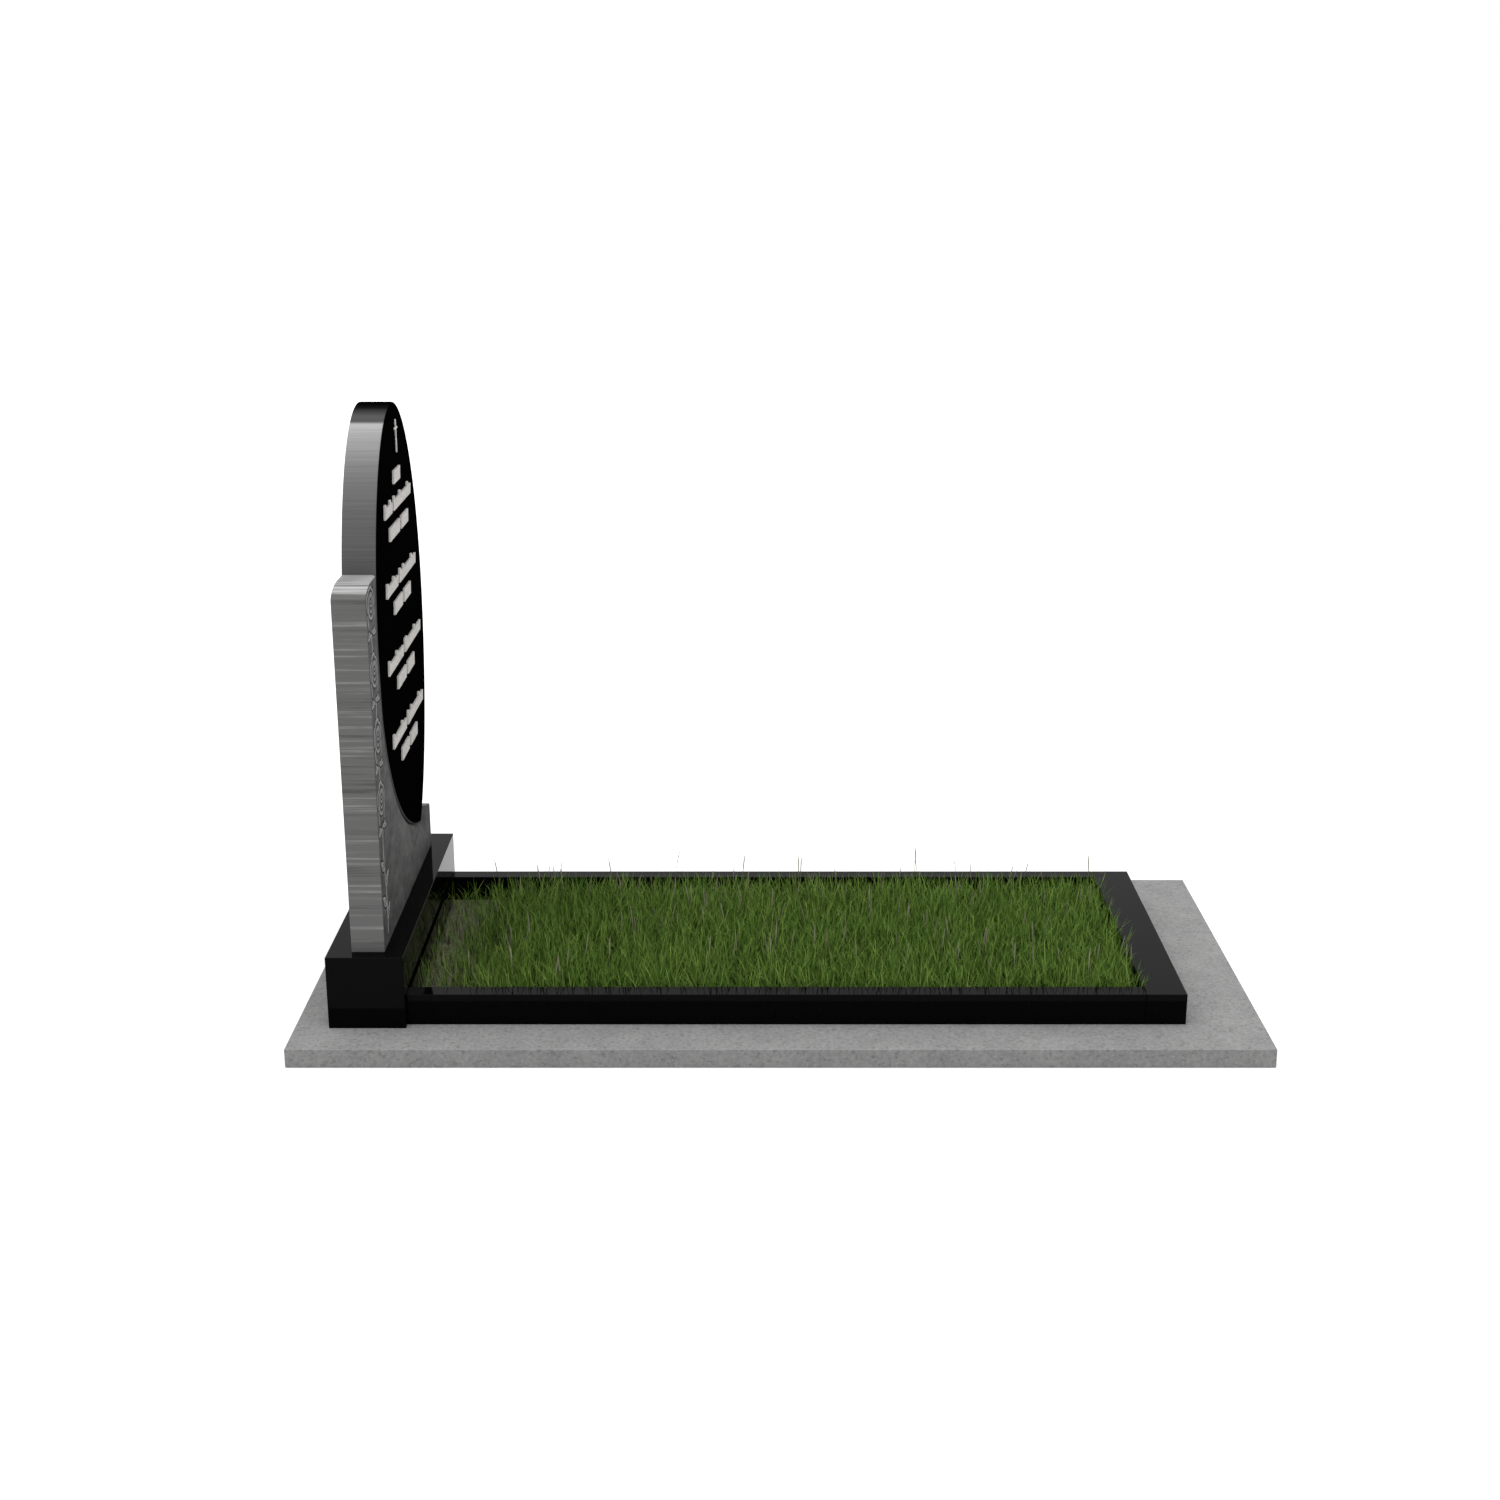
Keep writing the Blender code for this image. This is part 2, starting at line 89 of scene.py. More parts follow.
class Graph:
    # Adds nodes to a shader or geometry tree
    def __init__(self, tree):
        self.tree = tree

    def add(self, kind, settings=None, values=(), output=None):
        node = self.tree.nodes.new(kind)
        for name, value in (settings or {}).items():
            if name == "stops":
                self.fillRamp(node.color_ramp, value)
            else:
                setattr(node, name, value)
        pairs = values.items() if isinstance(values, dict) else enumerate(values)
        for name, value in pairs:
            self.put(node.inputs[name], value)
        shown = [socket for socket in node.outputs if socket.enabled]
        return Link(self, node.outputs[output] if output is not None else (shown or [None])[0])

    def put(self, target, value):
        if isinstance(value, Link):
            self.tree.links.new(value.socket, target)
        else:
            target.default_value = value

    def fillRamp(self, ramp, stops):
        while len(ramp.elements) < len(stops):
            ramp.elements.new(1.0)
        for element, (place, colour) in zip(ramp.elements, stops):
            element.position = place
            element.color = (*colour, 1.0)

    def mixColour(self, factor, first, second, blend="MIX"):
        settings = {"data_type": "RGBA", "blend_type": blend}
        return self.add("ShaderNodeMix", settings, {0: factor, 6: first, 7: second}, output=2)

    def grain(self, source, scale, detail=2.0, roughness=0.5):
        # Noise at this scale, or at a scale of its own along each axis
        if isinstance(scale, tuple):
            source, scale = self.add("ShaderNodeMapping", {}, {"Vector": source, "Scale": scale}), 1.0
        values = {"Vector": source, "Scale": scale, "Detail": detail, "Roughness": roughness}
        return self.add("ShaderNodeTexNoise", {}, values, output="Fac")

    def ramp(self, factor, *stops):
        return self.add("ShaderNodeValToRGB", {"stops": stops}, {"Fac": factor}, output="Color")

    def spread(self, value, low, high):
        # Straight ramp of a value, from 0 at low to 1 at high
        return self.add("ShaderNodeMapRange", {}, {"Value": value, "From Min": low, "From Max": high})

    def parts(self, vector):
        return self.add("ShaderNodeSeparateXYZ", {}, [vector])

    def joined(self, x, y, z):
        return self.add("ShaderNodeCombineXYZ", {}, [x, y, z])

    def vector(self, operation, first, second):
        return self.add("ShaderNodeVectorMath", {"operation": operation}, [first, second])

    def attribute(self, name):
        return self.add("ShaderNodeAttribute", {"attribute_name": name}, {}, output="Fac")


def grey(level, warmth=0.0):
    return (level * (1 + warmth), level, level * (1 - warmth))


def rgba(colour):
    return (*colour, 1.0)


def newMaterial(name, fixed):
    # A Principled material with these plain values, its graph, and its Object coordinates
    made = bpy.data.materials.new(name)
    made.use_nodes = True
    shader = made.node_tree.nodes["Principled BSDF"]
    for socket, value in fixed.items():
        shader.inputs[socket].default_value = value
    graph = Graph(made.node_tree)
    place = graph.add("ShaderNodeTexCoord", {}, {}, output="Object")
    return made, graph, shader, place


def addBump(graph, shader, height, strength, distance):
    bump = graph.add("ShaderNodeBump", {}, {"Strength": strength, "Distance": distance, "Height": height})
    graph.put(shader.inputs["Normal"], bump)


def blackBody(graph, place, black):
    # Near-black mottled stone with a few paler flecks
    mottle = graph.grain(place, black["grainScale"], detail=3.0)
    flecks = graph.spread(graph.grain(place, black["fleckScale"], detail=1.0), *black["fleckRange"])
    body = graph.ramp(mottle, (0.35, grey(black["dark"])), (black["lightFrom"], grey(black["light"])))
    return graph.mixColour(flecks * 0.5, body, rgba(grey(black["fleck"])))


# Black granite of the base, the kerbs and the tablet's back
def polishedGranite():
    black = {
        "dark": 0.0006, "light": 0.0022, "lightFrom": 0.70, "grainScale": 700,
        "fleck": 0.012, "fleckScale": 260, "fleckRange": (0.72, 0.80),
        "smoothest": 0.02, "roughnessSpan": 0.05, "polishScale": 9.0,
    }
    made, graph, shader, place = newMaterial("polishedGranite", {"IOR": 1.10})
    graph.put(shader.inputs["Base Color"], blackBody(graph, place, black))
    polish = graph.grain(place, black["polishScale"], detail=3.0)
    graph.put(shader.inputs["Roughness"], black["smoothest"] + black["roughnessSpan"] * polish)
    return made


# Head strip: polished on its face, with a raw black upper edge
def headStripStone(top):
    strip = {"edge": 0.0008, "edgeRange": (0.0012, 0.0009)}
    made = polishedGranite()
    made.name = "headStripStone"
    graph = Graph(made.node_tree)
    place = graph.add("ShaderNodeTexCoord", {}, {}, output="Object")
    raw = graph.add("ShaderNodeBsdfDiffuse", {}, {"Color": rgba(grey(strip["edge"]))})
    polished = Link(graph, made.node_tree.nodes["Principled BSDF"].outputs["BSDF"])
    isEdge = graph.spread(top - graph.parts(place)["Z"], *strip["edgeRange"])
    mixed = graph.add("ShaderNodeMixShader", {}, [isEdge, polished, raw])
    graph.put(made.node_tree.nodes["Material Output"].inputs["Surface"], mixed)
    return made


# Inscribed face: the same black stone, blasted dead matt so that the strokes read
def tabletFaceStone():
    black = {
        "dark": 0.0004, "light": 0.0016, "lightFrom": 0.75, "grainScale": 600,
        "fleck": 0.010, "fleckScale": 240, "fleckRange": (0.70, 0.80),
    }
    fixed = {"Roughness": 0.85, "Specular IOR Level": 0.0}
    made, graph, shader, place = newMaterial("tabletFaceStone", fixed)
    graph.put(shader.inputs["Base Color"], blackBody(graph, place, black))
    return made


# Tablet's edge: grey stone with painted reflection and shade by height: a dark painted reflection at the
# crown, a pale painted highlight where the flank starts, and painted shade darker down the sides
def tabletEdgeStone(crown):
    edge = {
        "streakShare": 0.9,
        "streakScale": (3.0, 1.6, 300.0),
        "tones": (   # drop below the crown in metres, painted brightness there: dark reflection, highlight band, then shade
            (0.000, 0.0005), (0.006, 0.005), (0.011, 0.033), (0.019, 0.066), (0.029, 0.068), (0.0345, 0.350),
            (0.046, 0.290), (0.080, 0.215), (0.130, 0.138), (0.200, 0.095), (0.320, 0.072),
        ),
    }
    fixed = {"Roughness": 0.7, "Specular IOR Level": 0.0}
    made, graph, shader, place = newMaterial("tabletEdgeStone", fixed)
    reach = edge["tones"][-1][0]
    stops = [(drop / reach, grey(level)) for drop, level in edge["tones"]]
    # Painted light: this height ramp puts the crown's reflection, a highlight band and the shade down the
    # sides into the colour
    tone = graph.ramp((crown - graph.parts(place)["Z"]) / reach, *stops)
    streaks = graph.grain(place, edge["streakScale"], detail=5.0, roughness=0.75)
    shade = 1 + edge["streakShare"] * (streaks - 0.5)
    shades = graph.add("ShaderNodeCombineColor", {}, [shade, shade, shade])
    graph.put(shader.inputs["Base Color"], graph.mixColour(1.0, tone, shades, "MULTIPLY"))
    addBump(graph, shader, streaks, strength=0.15, distance=0.0006)
    return made


# Surround's sides: grey granite with bands that run along its depth, bumped and partly painted darker and
# paler as the shade and light of their ripples, and a pale top band painted as light on the up-facing
# shoulder
def surroundSideStone(head):
    band = {
        "dark": 0.046, "flat": 0.092, "light": 0.172,
        "broadScale": (0.5, 0.4, 30.0), "fineScale": (1.5, 2.0, 130.0), "fineShare": 0.70,
        "capDark": 0.120, "capLight": 0.400, "capScale": (1.5, 2.0, 420.0),
        "capRange": (0.0115, 0.0150),   # below the head, where the painted light on the up-facing shoulder ends
    }
    fixed = {"Roughness": 0.6, "Specular IOR Level": 0.2}
    made, graph, shader, place = newMaterial("surroundSideStone", fixed)
    broad = graph.grain(place, band["broadScale"], detail=2.0)
    fine = graph.grain(place, band["fineScale"], detail=5.0, roughness=0.75)
    bands = (1 - band["fineShare"]) * broad + band["fineShare"] * fine
    body = graph.ramp(   # broad flat stretches with a dark or a pale line here and there, partly the stone's own tone and partly painted shade and light of the ripples
        bands, (0.37, grey(band["dark"], 0.03)), (0.45, grey(band["flat"] * 0.94, 0.01)),
        (0.54, grey(band["flat"], 0.01)), (0.63, grey(band["light"], 0.02)),
    )
    # Painted light: the top of the sides is painted paler, where the up-facing shoulder catches the light
    # from above
    isPaintedLitCap = 1 - graph.spread(head - graph.parts(place)["Z"], *band["capRange"])
    sawn = graph.grain(place, band["capScale"], detail=3.0, roughness=0.6)
    litCapStripes = graph.ramp(sawn, (0.38, grey(band["capDark"])), (0.58, grey(band["capLight"])))
    graph.put(shader.inputs["Base Color"], graph.mixColour(isPaintedLitCap, body, litCapStripes))
    addBump(graph, shader, bands, strength=0.2, distance=0.0008)
    return made


# Surround's faces and cradle: the same stone, mottled, with faint upright brown stains, painted shade in the
# carving's grooves and painted highlights on its lips
def surroundFaceStone():
    face = {
        "dark": 0.026, "middle": 0.056, "light": 0.088,
        "mottleScale": (24.0, 24.0, 36.0), "fineScale": 420.0, "mottleShare": 0.7,
        "stain": (0.058, 0.047, 0.035), "stainScale": (24.0, 24.0, 5.0), "stainShare": 0.45,
        "groove": 0.010, "lip": 0.235,
    }
    fixed = {"Roughness": 0.7, "Specular IOR Level": 0.05}
    made, graph, shader, place = newMaterial("surroundFaceStone", fixed)
    mottle = graph.grain(place, face["mottleScale"], detail=5.0, roughness=0.65)
    fine = graph.grain(place, face["fineScale"], detail=2.0, roughness=0.6)
    body = graph.ramp(
        face["mottleShare"] * mottle + (1 - face["mottleShare"]) * fine,
        (0.34, grey(face["dark"])), (0.50, grey(face["middle"])), (0.66, grey(face["light"])),
    )
    stains = graph.spread(graph.grain(place, face["stainScale"], detail=3.0), 0.56, 0.74)
    stained = graph.mixColour(stains * face["stainShare"], body, rgba(face["stain"]))
    # Painted shade darkens the grooves and painted highlights pale the lips; the mesh says which is which
    carve = graph.attribute("carve")
    groovesShaded = graph.mixColour(graph.spread(carve, 0.45, 0.15), stained, rgba(grey(face["groove"])))
    lipsLit = graph.mixColour(graph.spread(carve, 0.56, 0.90), groovesShaded, rgba(grey(face["lip"])))
    graph.put(shader.inputs["Base Color"], lipsLit)
    addBump(graph, shader, fine, strength=0.25, distance=0.0005)
    return made


# Foundation slab: pale mottled top with darker grains, and sides a little darker as painted shade
def slabStone(top):
    slab = {
        "dark": 0.164, "light": 0.250, "cloudScale": 14.0, "mottleScale": 110.0, "mottleShare": 0.70,
        "grain": (0.105, 0.098, 0.092), "grainScale": (150.0, 85.0, 150.0), "grainShare": 0.55,
        "speck": 0.340, "speckScale": 380.0, "speckShare": 0.5,
        "edgeShare": 0.80, "edgeRange": (0.0006, 0.0016),
    }
    made, graph, shader, place = newMaterial("slabStone", {"Specular IOR Level": 0.2})
    clouds = graph.grain(place, slab["cloudScale"], detail=4.0, roughness=0.6)
    mottle = graph.grain(place, slab["mottleScale"], detail=4.0, roughness=0.7)
    blotches = (1 - slab["mottleShare"]) * clouds + slab["mottleShare"] * mottle
    body = graph.ramp(blotches, (0.36, grey(slab["dark"])), (0.64, grey(slab["light"], 0.01)))
    grains = graph.spread(graph.grain(place, slab["grainScale"], detail=1.5), 0.60, 0.70)
    darker = graph.mixColour(grains * slab["grainShare"], body, rgba(slab["grain"]))
    specks = graph.spread(graph.grain(place, slab["speckScale"], detail=1.0), 0.64, 0.74)
    paler = graph.mixColour(specks * slab["speckShare"], darker, rgba(grey(slab["speck"])))
    # Painted shade: below the top the sides are darkened, as they take less light than the top
    isShadedSide = graph.spread(top - graph.parts(place)["Z"], *slab["edgeRange"])
    sideShaded = graph.mixColour(isShadedSide, paler, rgba(grey(slab["edgeShare"])), "MULTIPLY")
    graph.put(shader.inputs["Base Color"], sideShaded)
    graph.put(shader.inputs["Roughness"], 0.72 + 0.16 * mottle)
    addBump(graph, shader, mottle, strength=0.3, distance=0.0006)
    return made


def inscriptionPaint():
    paint = {"low": (0.40, 0.385, 0.365), "high": (0.52, 0.50, 0.48), "wearScale": 160.0}
    made, graph, shader, place = newMaterial("inscriptionPaint", {"Roughness": 0.55})
    wear = graph.grain(place, paint["wearScale"], detail=3.0, roughness=0.6)
    graph.put(shader.inputs["Base Color"], graph.ramp(wear, (0.35, paint["low"]), (0.62, paint["high"])))
    addBump(graph, shader, wear, strength=0.2, distance=0.0004)
    return made


# Soil: pale dry clods at the headstone, mossier away from it
def bedSoil(head):
    earth = {
        "dark": (0.040, 0.038, 0.024), "light": (0.150, 0.146, 0.104), "clodScale": 130.0,
        "moss": (0.055, 0.090, 0.016), "mossScale": 14.0, "mossShare": 0.85, "mossRange": (0.02, 0.30),
    }
    made, graph, shader, place = newMaterial("bedSoil", {"Roughness": 0.95, "Specular IOR Level": 0.1})
    clods = graph.grain(place, earth["clodScale"], detail=5.0, roughness=0.7)
    body = graph.ramp(clods, (0.32, earth["dark"]), (0.66, earth["light"]))
    away = graph.spread(head - graph.parts(place)["Y"], *earth["mossRange"])
    mossy = (away + graph.grain(place, earth["mossScale"], detail=3.0) - 0.4).clamped()
    grown = graph.mixColour(mossy * earth["mossShare"], body, rgba(earth["moss"]))
    graph.put(shader.inputs["Base Color"], grown)
    addBump(graph, shader, clods, strength=0.6, distance=0.002)
    return made


# Blades take their tint and their rise, from root to tip, from attributes of the mesh
def grassGreen():
    green = {
        "root": (0.052, 0.092, 0.012), "deep": (0.056, 0.124, 0.014), "bright": (0.170, 0.258, 0.050),
        "tintPower": 1.6, "rootFade": 2.2,
    }
    made, graph, shader, place = newMaterial("grassGreen", {"Roughness": 0.6, "Specular IOR Level": 0.1})
    tint = graph.attribute("tint") ** green["tintPower"]
    blade = graph.mixColour(tint, rgba(green["deep"]), rgba(green["bright"]))
    rise = (graph.attribute("rise") * green["rootFade"]).clamped()
    graph.put(shader.inputs["Base Color"], graph.mixColour(rise, rgba(green["root"]), blade))
    return made


def seedStraw():
    straw = {"stem": (0.090, 0.120, 0.035), "head": (0.190, 0.175, 0.115), "headRange": (0.55, 0.75)}
    made, graph, shader, place = newMaterial("seedStraw", {"Roughness": 0.8})
    isHead = graph.spread(graph.attribute("rise"), *straw["headRange"])
    graph.put(shader.inputs["Base Color"], graph.mixColour(isHead, rgba(straw["stem"]), rgba(straw["head"])))
    return made


def paleFloor():
    pale = {"low": 0.90, "high": 0.93, "scale": 3.0}
    made, graph, shader, place = newMaterial("paleFloor", {"Roughness": 1.0, "Specular IOR Level": 0.0})
    clouds = graph.grain(place, pale["scale"], detail=2.0)
    tone = graph.ramp(clouds, (0.0, grey(pale["low"])), (1.0, grey(pale["high"])))
    graph.put(shader.inputs["Base Color"], tone)
    return made


def newObject(name, mesh):
    made = bpy.data.objects.new(name, mesh)
    bpy.context.scene.collection.objects.link(made)
    return made


def meshFrom(bm, name):
    mesh = bpy.data.meshes.new(name)
    bm.to_mesh(mesh)
    bm.free()
    return mesh


def gridFaces(bm, grid):
    # Smooth quads over rows of vertices; gives the rim, once round
    for low, high in zip(grid, grid[1:]):
        for i in range(len(low) - 1):
            bm.faces.new((low[i], low[i + 1], high[i + 1], high[i])).smooth = True
    return grid[0] + [row[-1] for row in grid[1:]] + grid[-1][-2::-1] + [row[0] for row in grid[-2:0:-1]]


def newGeometryTree(name, sizes):
    # A geometry tree with a geometry input and one named input for each (kind, name)
    tree = bpy.data.node_groups.new(name, "GeometryNodeTree")
    tree.interface.new_socket(name="Geometry", in_out="INPUT", socket_type="NodeSocketGeometry")
    for kind, label in sizes:
        tree.interface.new_socket(name=label, in_out="INPUT", socket_type="NodeSocket" + kind)
    tree.interface.new_socket(name="Geometry", in_out="OUTPUT", socket_type="NodeSocketGeometry")
    graph = Graph(tree)
    return tree, graph, graph.add("NodeGroupInput", {}, {})


def endTree(graph, geometry, material):
    # Realizes the instances, sets the material and joins the result to the tree's output
    real = graph.add("GeometryNodeRealizeInstances", {}, {"Geometry": geometry})
    painted = graph.add("GeometryNodeSetMaterial", {}, {"Geometry": real, "Material": material})
    graph.add("NodeGroupOutput", {}, {"Geometry": painted})


def grow(name, base, tree, inputs):
    # Runs a tree on a base mesh with these inputs and keeps the result as a plain mesh
    carrier = newObject(name + "Base", base)
    modifier = carrier.modifiers.new(name, "NODES")
    modifier.node_group = tree
    for item in tree.interface.items_tree:
        if item.in_out == "INPUT" and item.name in inputs:
            modifier[item.identifier] = inputs[item.name]
    depsgraph = bpy.context.evaluated_depsgraph_get()
    mesh = bpy.data.meshes.new_from_object(carrier.evaluated_get(depsgraph), depsgraph=depsgraph)
    carrier.modifiers.clear()
    bpy.data.objects.remove(carrier, do_unlink=True)
    return newObject(name, mesh)


def finishPiece(piece, slot, *replaced):
    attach(piece, "root")
    if replaced:
        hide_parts(*replaced)
    print(piece.name, "has", sum(len(f.vertices) - 2 for f in piece.data.polygons), "triangles")


# Outlines of the two stones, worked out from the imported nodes' boxes
tabletLow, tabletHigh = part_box("oval_tablet")
surroundLow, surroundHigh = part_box("rose_surround")
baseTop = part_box("base_block")[1].z
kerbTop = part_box("left_kerb")[1].z
soilLow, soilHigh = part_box("soil_bed")

tablet = {
    "upperHalf": 0.5195,
    "lowerHalf": 0.600,
    "arris": 0.003,
    "strokeRelief": 0.005,
    "steps": 300,
    "arrisSteps": 4,
}
cradle = {
    "offset": 0.260,   # its ellipse's centre, to the right of the tablet's and below it
    "drop": 0.039,
    "halfWidth": 0.583,
    "halfHeight": 0.515,
    "gap": 0.0003,
    "bevelWidth": 0.010,
    "bevelDepth": 0.008,
}
tabletHalfWidth = (tabletHigh.x - tabletLow.x) / 2
tabletCentre = ((tabletLow.x + tabletHigh.x) / 2, tabletHigh.z - tablet["upperHalf"])
stoneFront = tabletLow.y + tablet["strokeRelief"]
stoneBack = tabletHigh.y


def eggRadius(angle):
    tall = tablet["upperHalf"] if math.sin(angle) > 0 else tablet["lowerHalf"]
    return 1 / math.hypot(math.cos(angle) / tabletHalfWidth, math.sin(angle) / tall)


def cradleRadius(angle):
    # From the tablet's centre to the cradle's ellipse
    across = math.cos(angle) / cradle["halfWidth"]
    along = math.sin(angle) / cradle["halfHeight"]
    x = -cradle["offset"] / cradle["halfWidth"]
    z = cradle["drop"] / cradle["halfHeight"]
    a = across ** 2 + along ** 2
    b = x * across + z * along
    return (-b + math.sqrt(b * b - a * (x * x + z * z - 1))) / a


def solveAngle(low, high, isLow):
    # Direction at which a test turns false, found by halving
    for _ in range(40):
        middle = (low + high) / 2
        if isLow(middle):
            low = middle
        else:
            high = middle
    return low


heelAngle = solveAngle(-math.pi / 2, 0.0, lambda turn: cradleRadius(turn) < eggRadius(turn))


def edgePoint(angle, growth, radius):
    # A point of one of the two curves, moved outwards along the curve's own normal
    step = 1e-4
    near, far = radius(angle - step), radius(angle + step)
    run = (far * math.cos(angle + step) - near * math.cos(angle - step),
           far * math.sin(angle + step) - near * math.sin(angle - step))
    length = math.hypot(*run)
    reach = radius(angle)
    x = tabletCentre[0] + reach * math.cos(angle) + growth * run[1] / length
    z = tabletCentre[1] + reach * math.sin(angle) - growth * run[0] / length
    return x, z


# Oval tablet, grown by a tree: a grid whose rows are rings from the middle of the face to that of the back
def ovalTabletTree(faceStone, edgeStone, backStone):
    tree, graph, size = newGeometryTree("ovalTablet", [
        ("Int", "Steps"), ("Int", "Arris Steps"), ("Float", "Half Width"), ("Float", "Upper Half"),
        ("Float", "Lower Half"), ("Float", "Cradle X"), ("Float", "Cradle Z"),
        ("Float", "Cradle Half Width"), ("Float", "Cradle Half Height"), ("Float", "Start"),
        ("Float", "Front"), ("Float", "Back"), ("Float", "Arris"), ("Vector", "Centre"),
    ])
    rings = size["Arris Steps"] * 2 + 4
    grid = graph.add("GeometryNodeMeshGrid", {}, [1.0, 1.0, size["Steps"] + 1, rings], output="Mesh")
    spot = graph.parts(graph.add("GeometryNodeInputPosition"))
    angle = size["Start"] + math.tau * (spot["X"] + 0.5)
    cosine, sine = angle.math("COSINE"), angle.math("SINE")

    isUp = sine.math("GREATER_THAN", 0.0)
    tall = size["Lower Half"] + isUp * (size["Upper Half"] - size["Lower Half"])
    egg = 1 / ((cosine / size["Half Width"]) ** 2 + (sine / tall) ** 2).math("SQRT")
    across, along = cosine / size["Cradle Half Width"], sine / size["Cradle Half Height"]
    x, z = size["Cradle X"] / size["Cradle Half Width"], size["Cradle Z"] / size["Cradle Half Height"]
    a, b = across ** 2 + along ** 2, x * across + z * along
    bed = ((b * b - a * (x * x + z * z - 1)).math("SQRT") - b) / a
    radius = egg + (1 - isUp) * (egg.math("MINIMUM", bed) - egg)

    ring = ((spot["Y"] + 0.5) * (rings - 1)).math("ROUND")
    inward = ring.math("MINIMUM", rings - 1 - ring)
    turn = ((inward - 1) / size["Arris Steps"]).clamped() * (math.pi / 2)
    inset = size["Arris"] * (1 - turn.math("SINE"))
    depth = size["Arris"] * (1 - turn.math("COSINE"))
    isFront = ring.math("LESS_THAN", rings / 2)
    y = isFront * (size["Front"] + depth) + (1 - isFront) * (size["Back"] - depth)
    reach = (radius - inset) * inward.math("MINIMUM", 1.0)
    placed = graph.vector("ADD", graph.joined(reach * cosine, y, reach * sine), size["Centre"])
    shaped = graph.add("GeometryNodeSetPosition", {}, {"Geometry": grid, "Position": placed})
    merged = graph.add("GeometryNodeMergeByDistance", {}, {"Geometry": shaped, "Distance": 0.00002})
    closed = graph.add("GeometryNodeFlipFaces", {}, {"Mesh": merged})   # the rings run inside out
    facing = graph.parts(graph.add("GeometryNodeInputNormal"))["Y"]
    flat = 0.99   # normals past this belong to the two faces
    isFace, isBack = facing.math("ABSOLUTE").math("GREATER_THAN", flat), facing.math("GREATER_THAN", flat)
    smooth = graph.add("GeometryNodeSetShadeSmooth", {}, {"Geometry": closed, "Shade Smooth": 1 - isFace})
    solid = graph.add("GeometryNodeRealizeInstances", {}, {"Geometry": smooth})
    for stone, where in ((edgeStone, True), (faceStone, isFace), (backStone, isBack)):
        values = {"Geometry": solid, "Selection": where, "Material": stone}
        solid = graph.add("GeometryNodeSetMaterial", {}, values)
    graph.add("NodeGroupOutput", {}, {"Geometry": solid})
    return tree


def makeTablet():
    polished = nodes["base_block"].data.materials[0]
    tree = ovalTabletTree(tabletFaceStone(), tabletEdgeStone(tabletHigh.z), polished)
    piece = grow("ovalTablet", bpy.data.meshes.new("seed"), tree, {
        "Steps": tablet["steps"], "Arris Steps": tablet["arrisSteps"], "Half Width": tabletHalfWidth,
        "Upper Half": tablet["upperHalf"], "Lower Half": tablet["lowerHalf"], "Cradle X": -cradle["offset"],
        "Cradle Z": cradle["drop"], "Cradle Half Width": cradle["halfWidth"],
        "Cradle Half Height": cradle["halfHeight"], "Start": heelAngle, "Arris": tablet["arris"],
        "Front": stoneFront, "Back": stoneBack, "Centre": (tabletCentre[0], 0.0, tabletCentre[1]),
    })
    piece.data.set_sharp_from_angle(angle=math.radians(35))
    finishPiece(piece, "black_granite", "oval_tablet")


# Inscription: rows of raised strokes that form no letters
inscription = {
    "strokeWidth": 0.009,
    "strokePitch": 0.0165,
    "strokeLean": 0.006,
    "wordGap": 0.022,
    "capitalHeight": 0.033,
    "evenHeight": 0.030,
    "smallHeight": 0.024,
    "offset": 0.012,
    "root": 0.001,
    "bevel": 0.0009,
    "rows": (  # width, strokes before the word gap, foot height from the tablet's centre
        (0.084, 0, 0.336), (0.354, 6, 0.277), (0.251, 8, 0.218), (0.402, 9, 0.101), (0.224, 7, 0.044),
        (0.451, 12, -0.073), (0.231, 7, -0.133), (0.428, 11, -0.250), (0.219, 6, -0.309),
    ),
}


def strokeSeeds():
    # One vertex at each stroke's foot, with the stroke's height as an attribute
    feet, heights = [], []
    for row, (length, firstWord, foot) in enumerate(inscription["rows"]):
        gap = inscription["wordGap"] if firstWord else 0.0
        run = length - gap - inscription["strokeWidth"]
        spaces = round(run / inscription["strokePitch"])
        for i in range(spaces + 1):
            x = tabletCentre[0] + inscription["offset"] - length / 2 + run * i / spaces
            x += gap if firstWord and i >= firstWord else 0.0
            isTall = i in (0, firstWord) or (i * 5 + row) % 7 == 0   # a tall stroke now and then
            mixed = inscription["capitalHeight"] if isTall else inscription["smallHeight"]
            feet.append((x, stoneFront, tabletCentre[1] + foot))
            heights.append(inscription["evenHeight"] if row % 2 == 0 else mixed)
    mesh = bpy.data.meshes.new("strokeSeeds")
    mesh.from_pydata(feet, [], [])
    mesh.attributes.new("strokeHeight", "FLOAT", "POINT").data.foreach_set("value", heights)
    return mesh


def barMesh(name, outline, relief):
    # A raised bar over an outline in the face's plane, with its front edges rounded off
    bm = bmesh.new()
    root = [bm.verts.new((x, inscription["root"], z)) for x, z in outline]
    face = [bm.verts.new((x, -relief, z)) for x, z in outline]
    for i in range(len(outline)):
        j = (i + 1) % len(outline)
        bm.faces.new((root[i], root[j], face[j], face[i]))
    bm.faces.new(face)
    bm.faces.new(root[::-1])
    bmesh.ops.recalc_face_normals(bm, faces=bm.faces)
    rim = [e for e in bm.edges if all(v.co.y < 0 for v in e.verts)]
    bmesh.ops.bevel(bm, geom=rim, offset=inscription["bevel"], segments=2, profile=0.6, affect="EDGES")
    return meshFrom(bm, name)


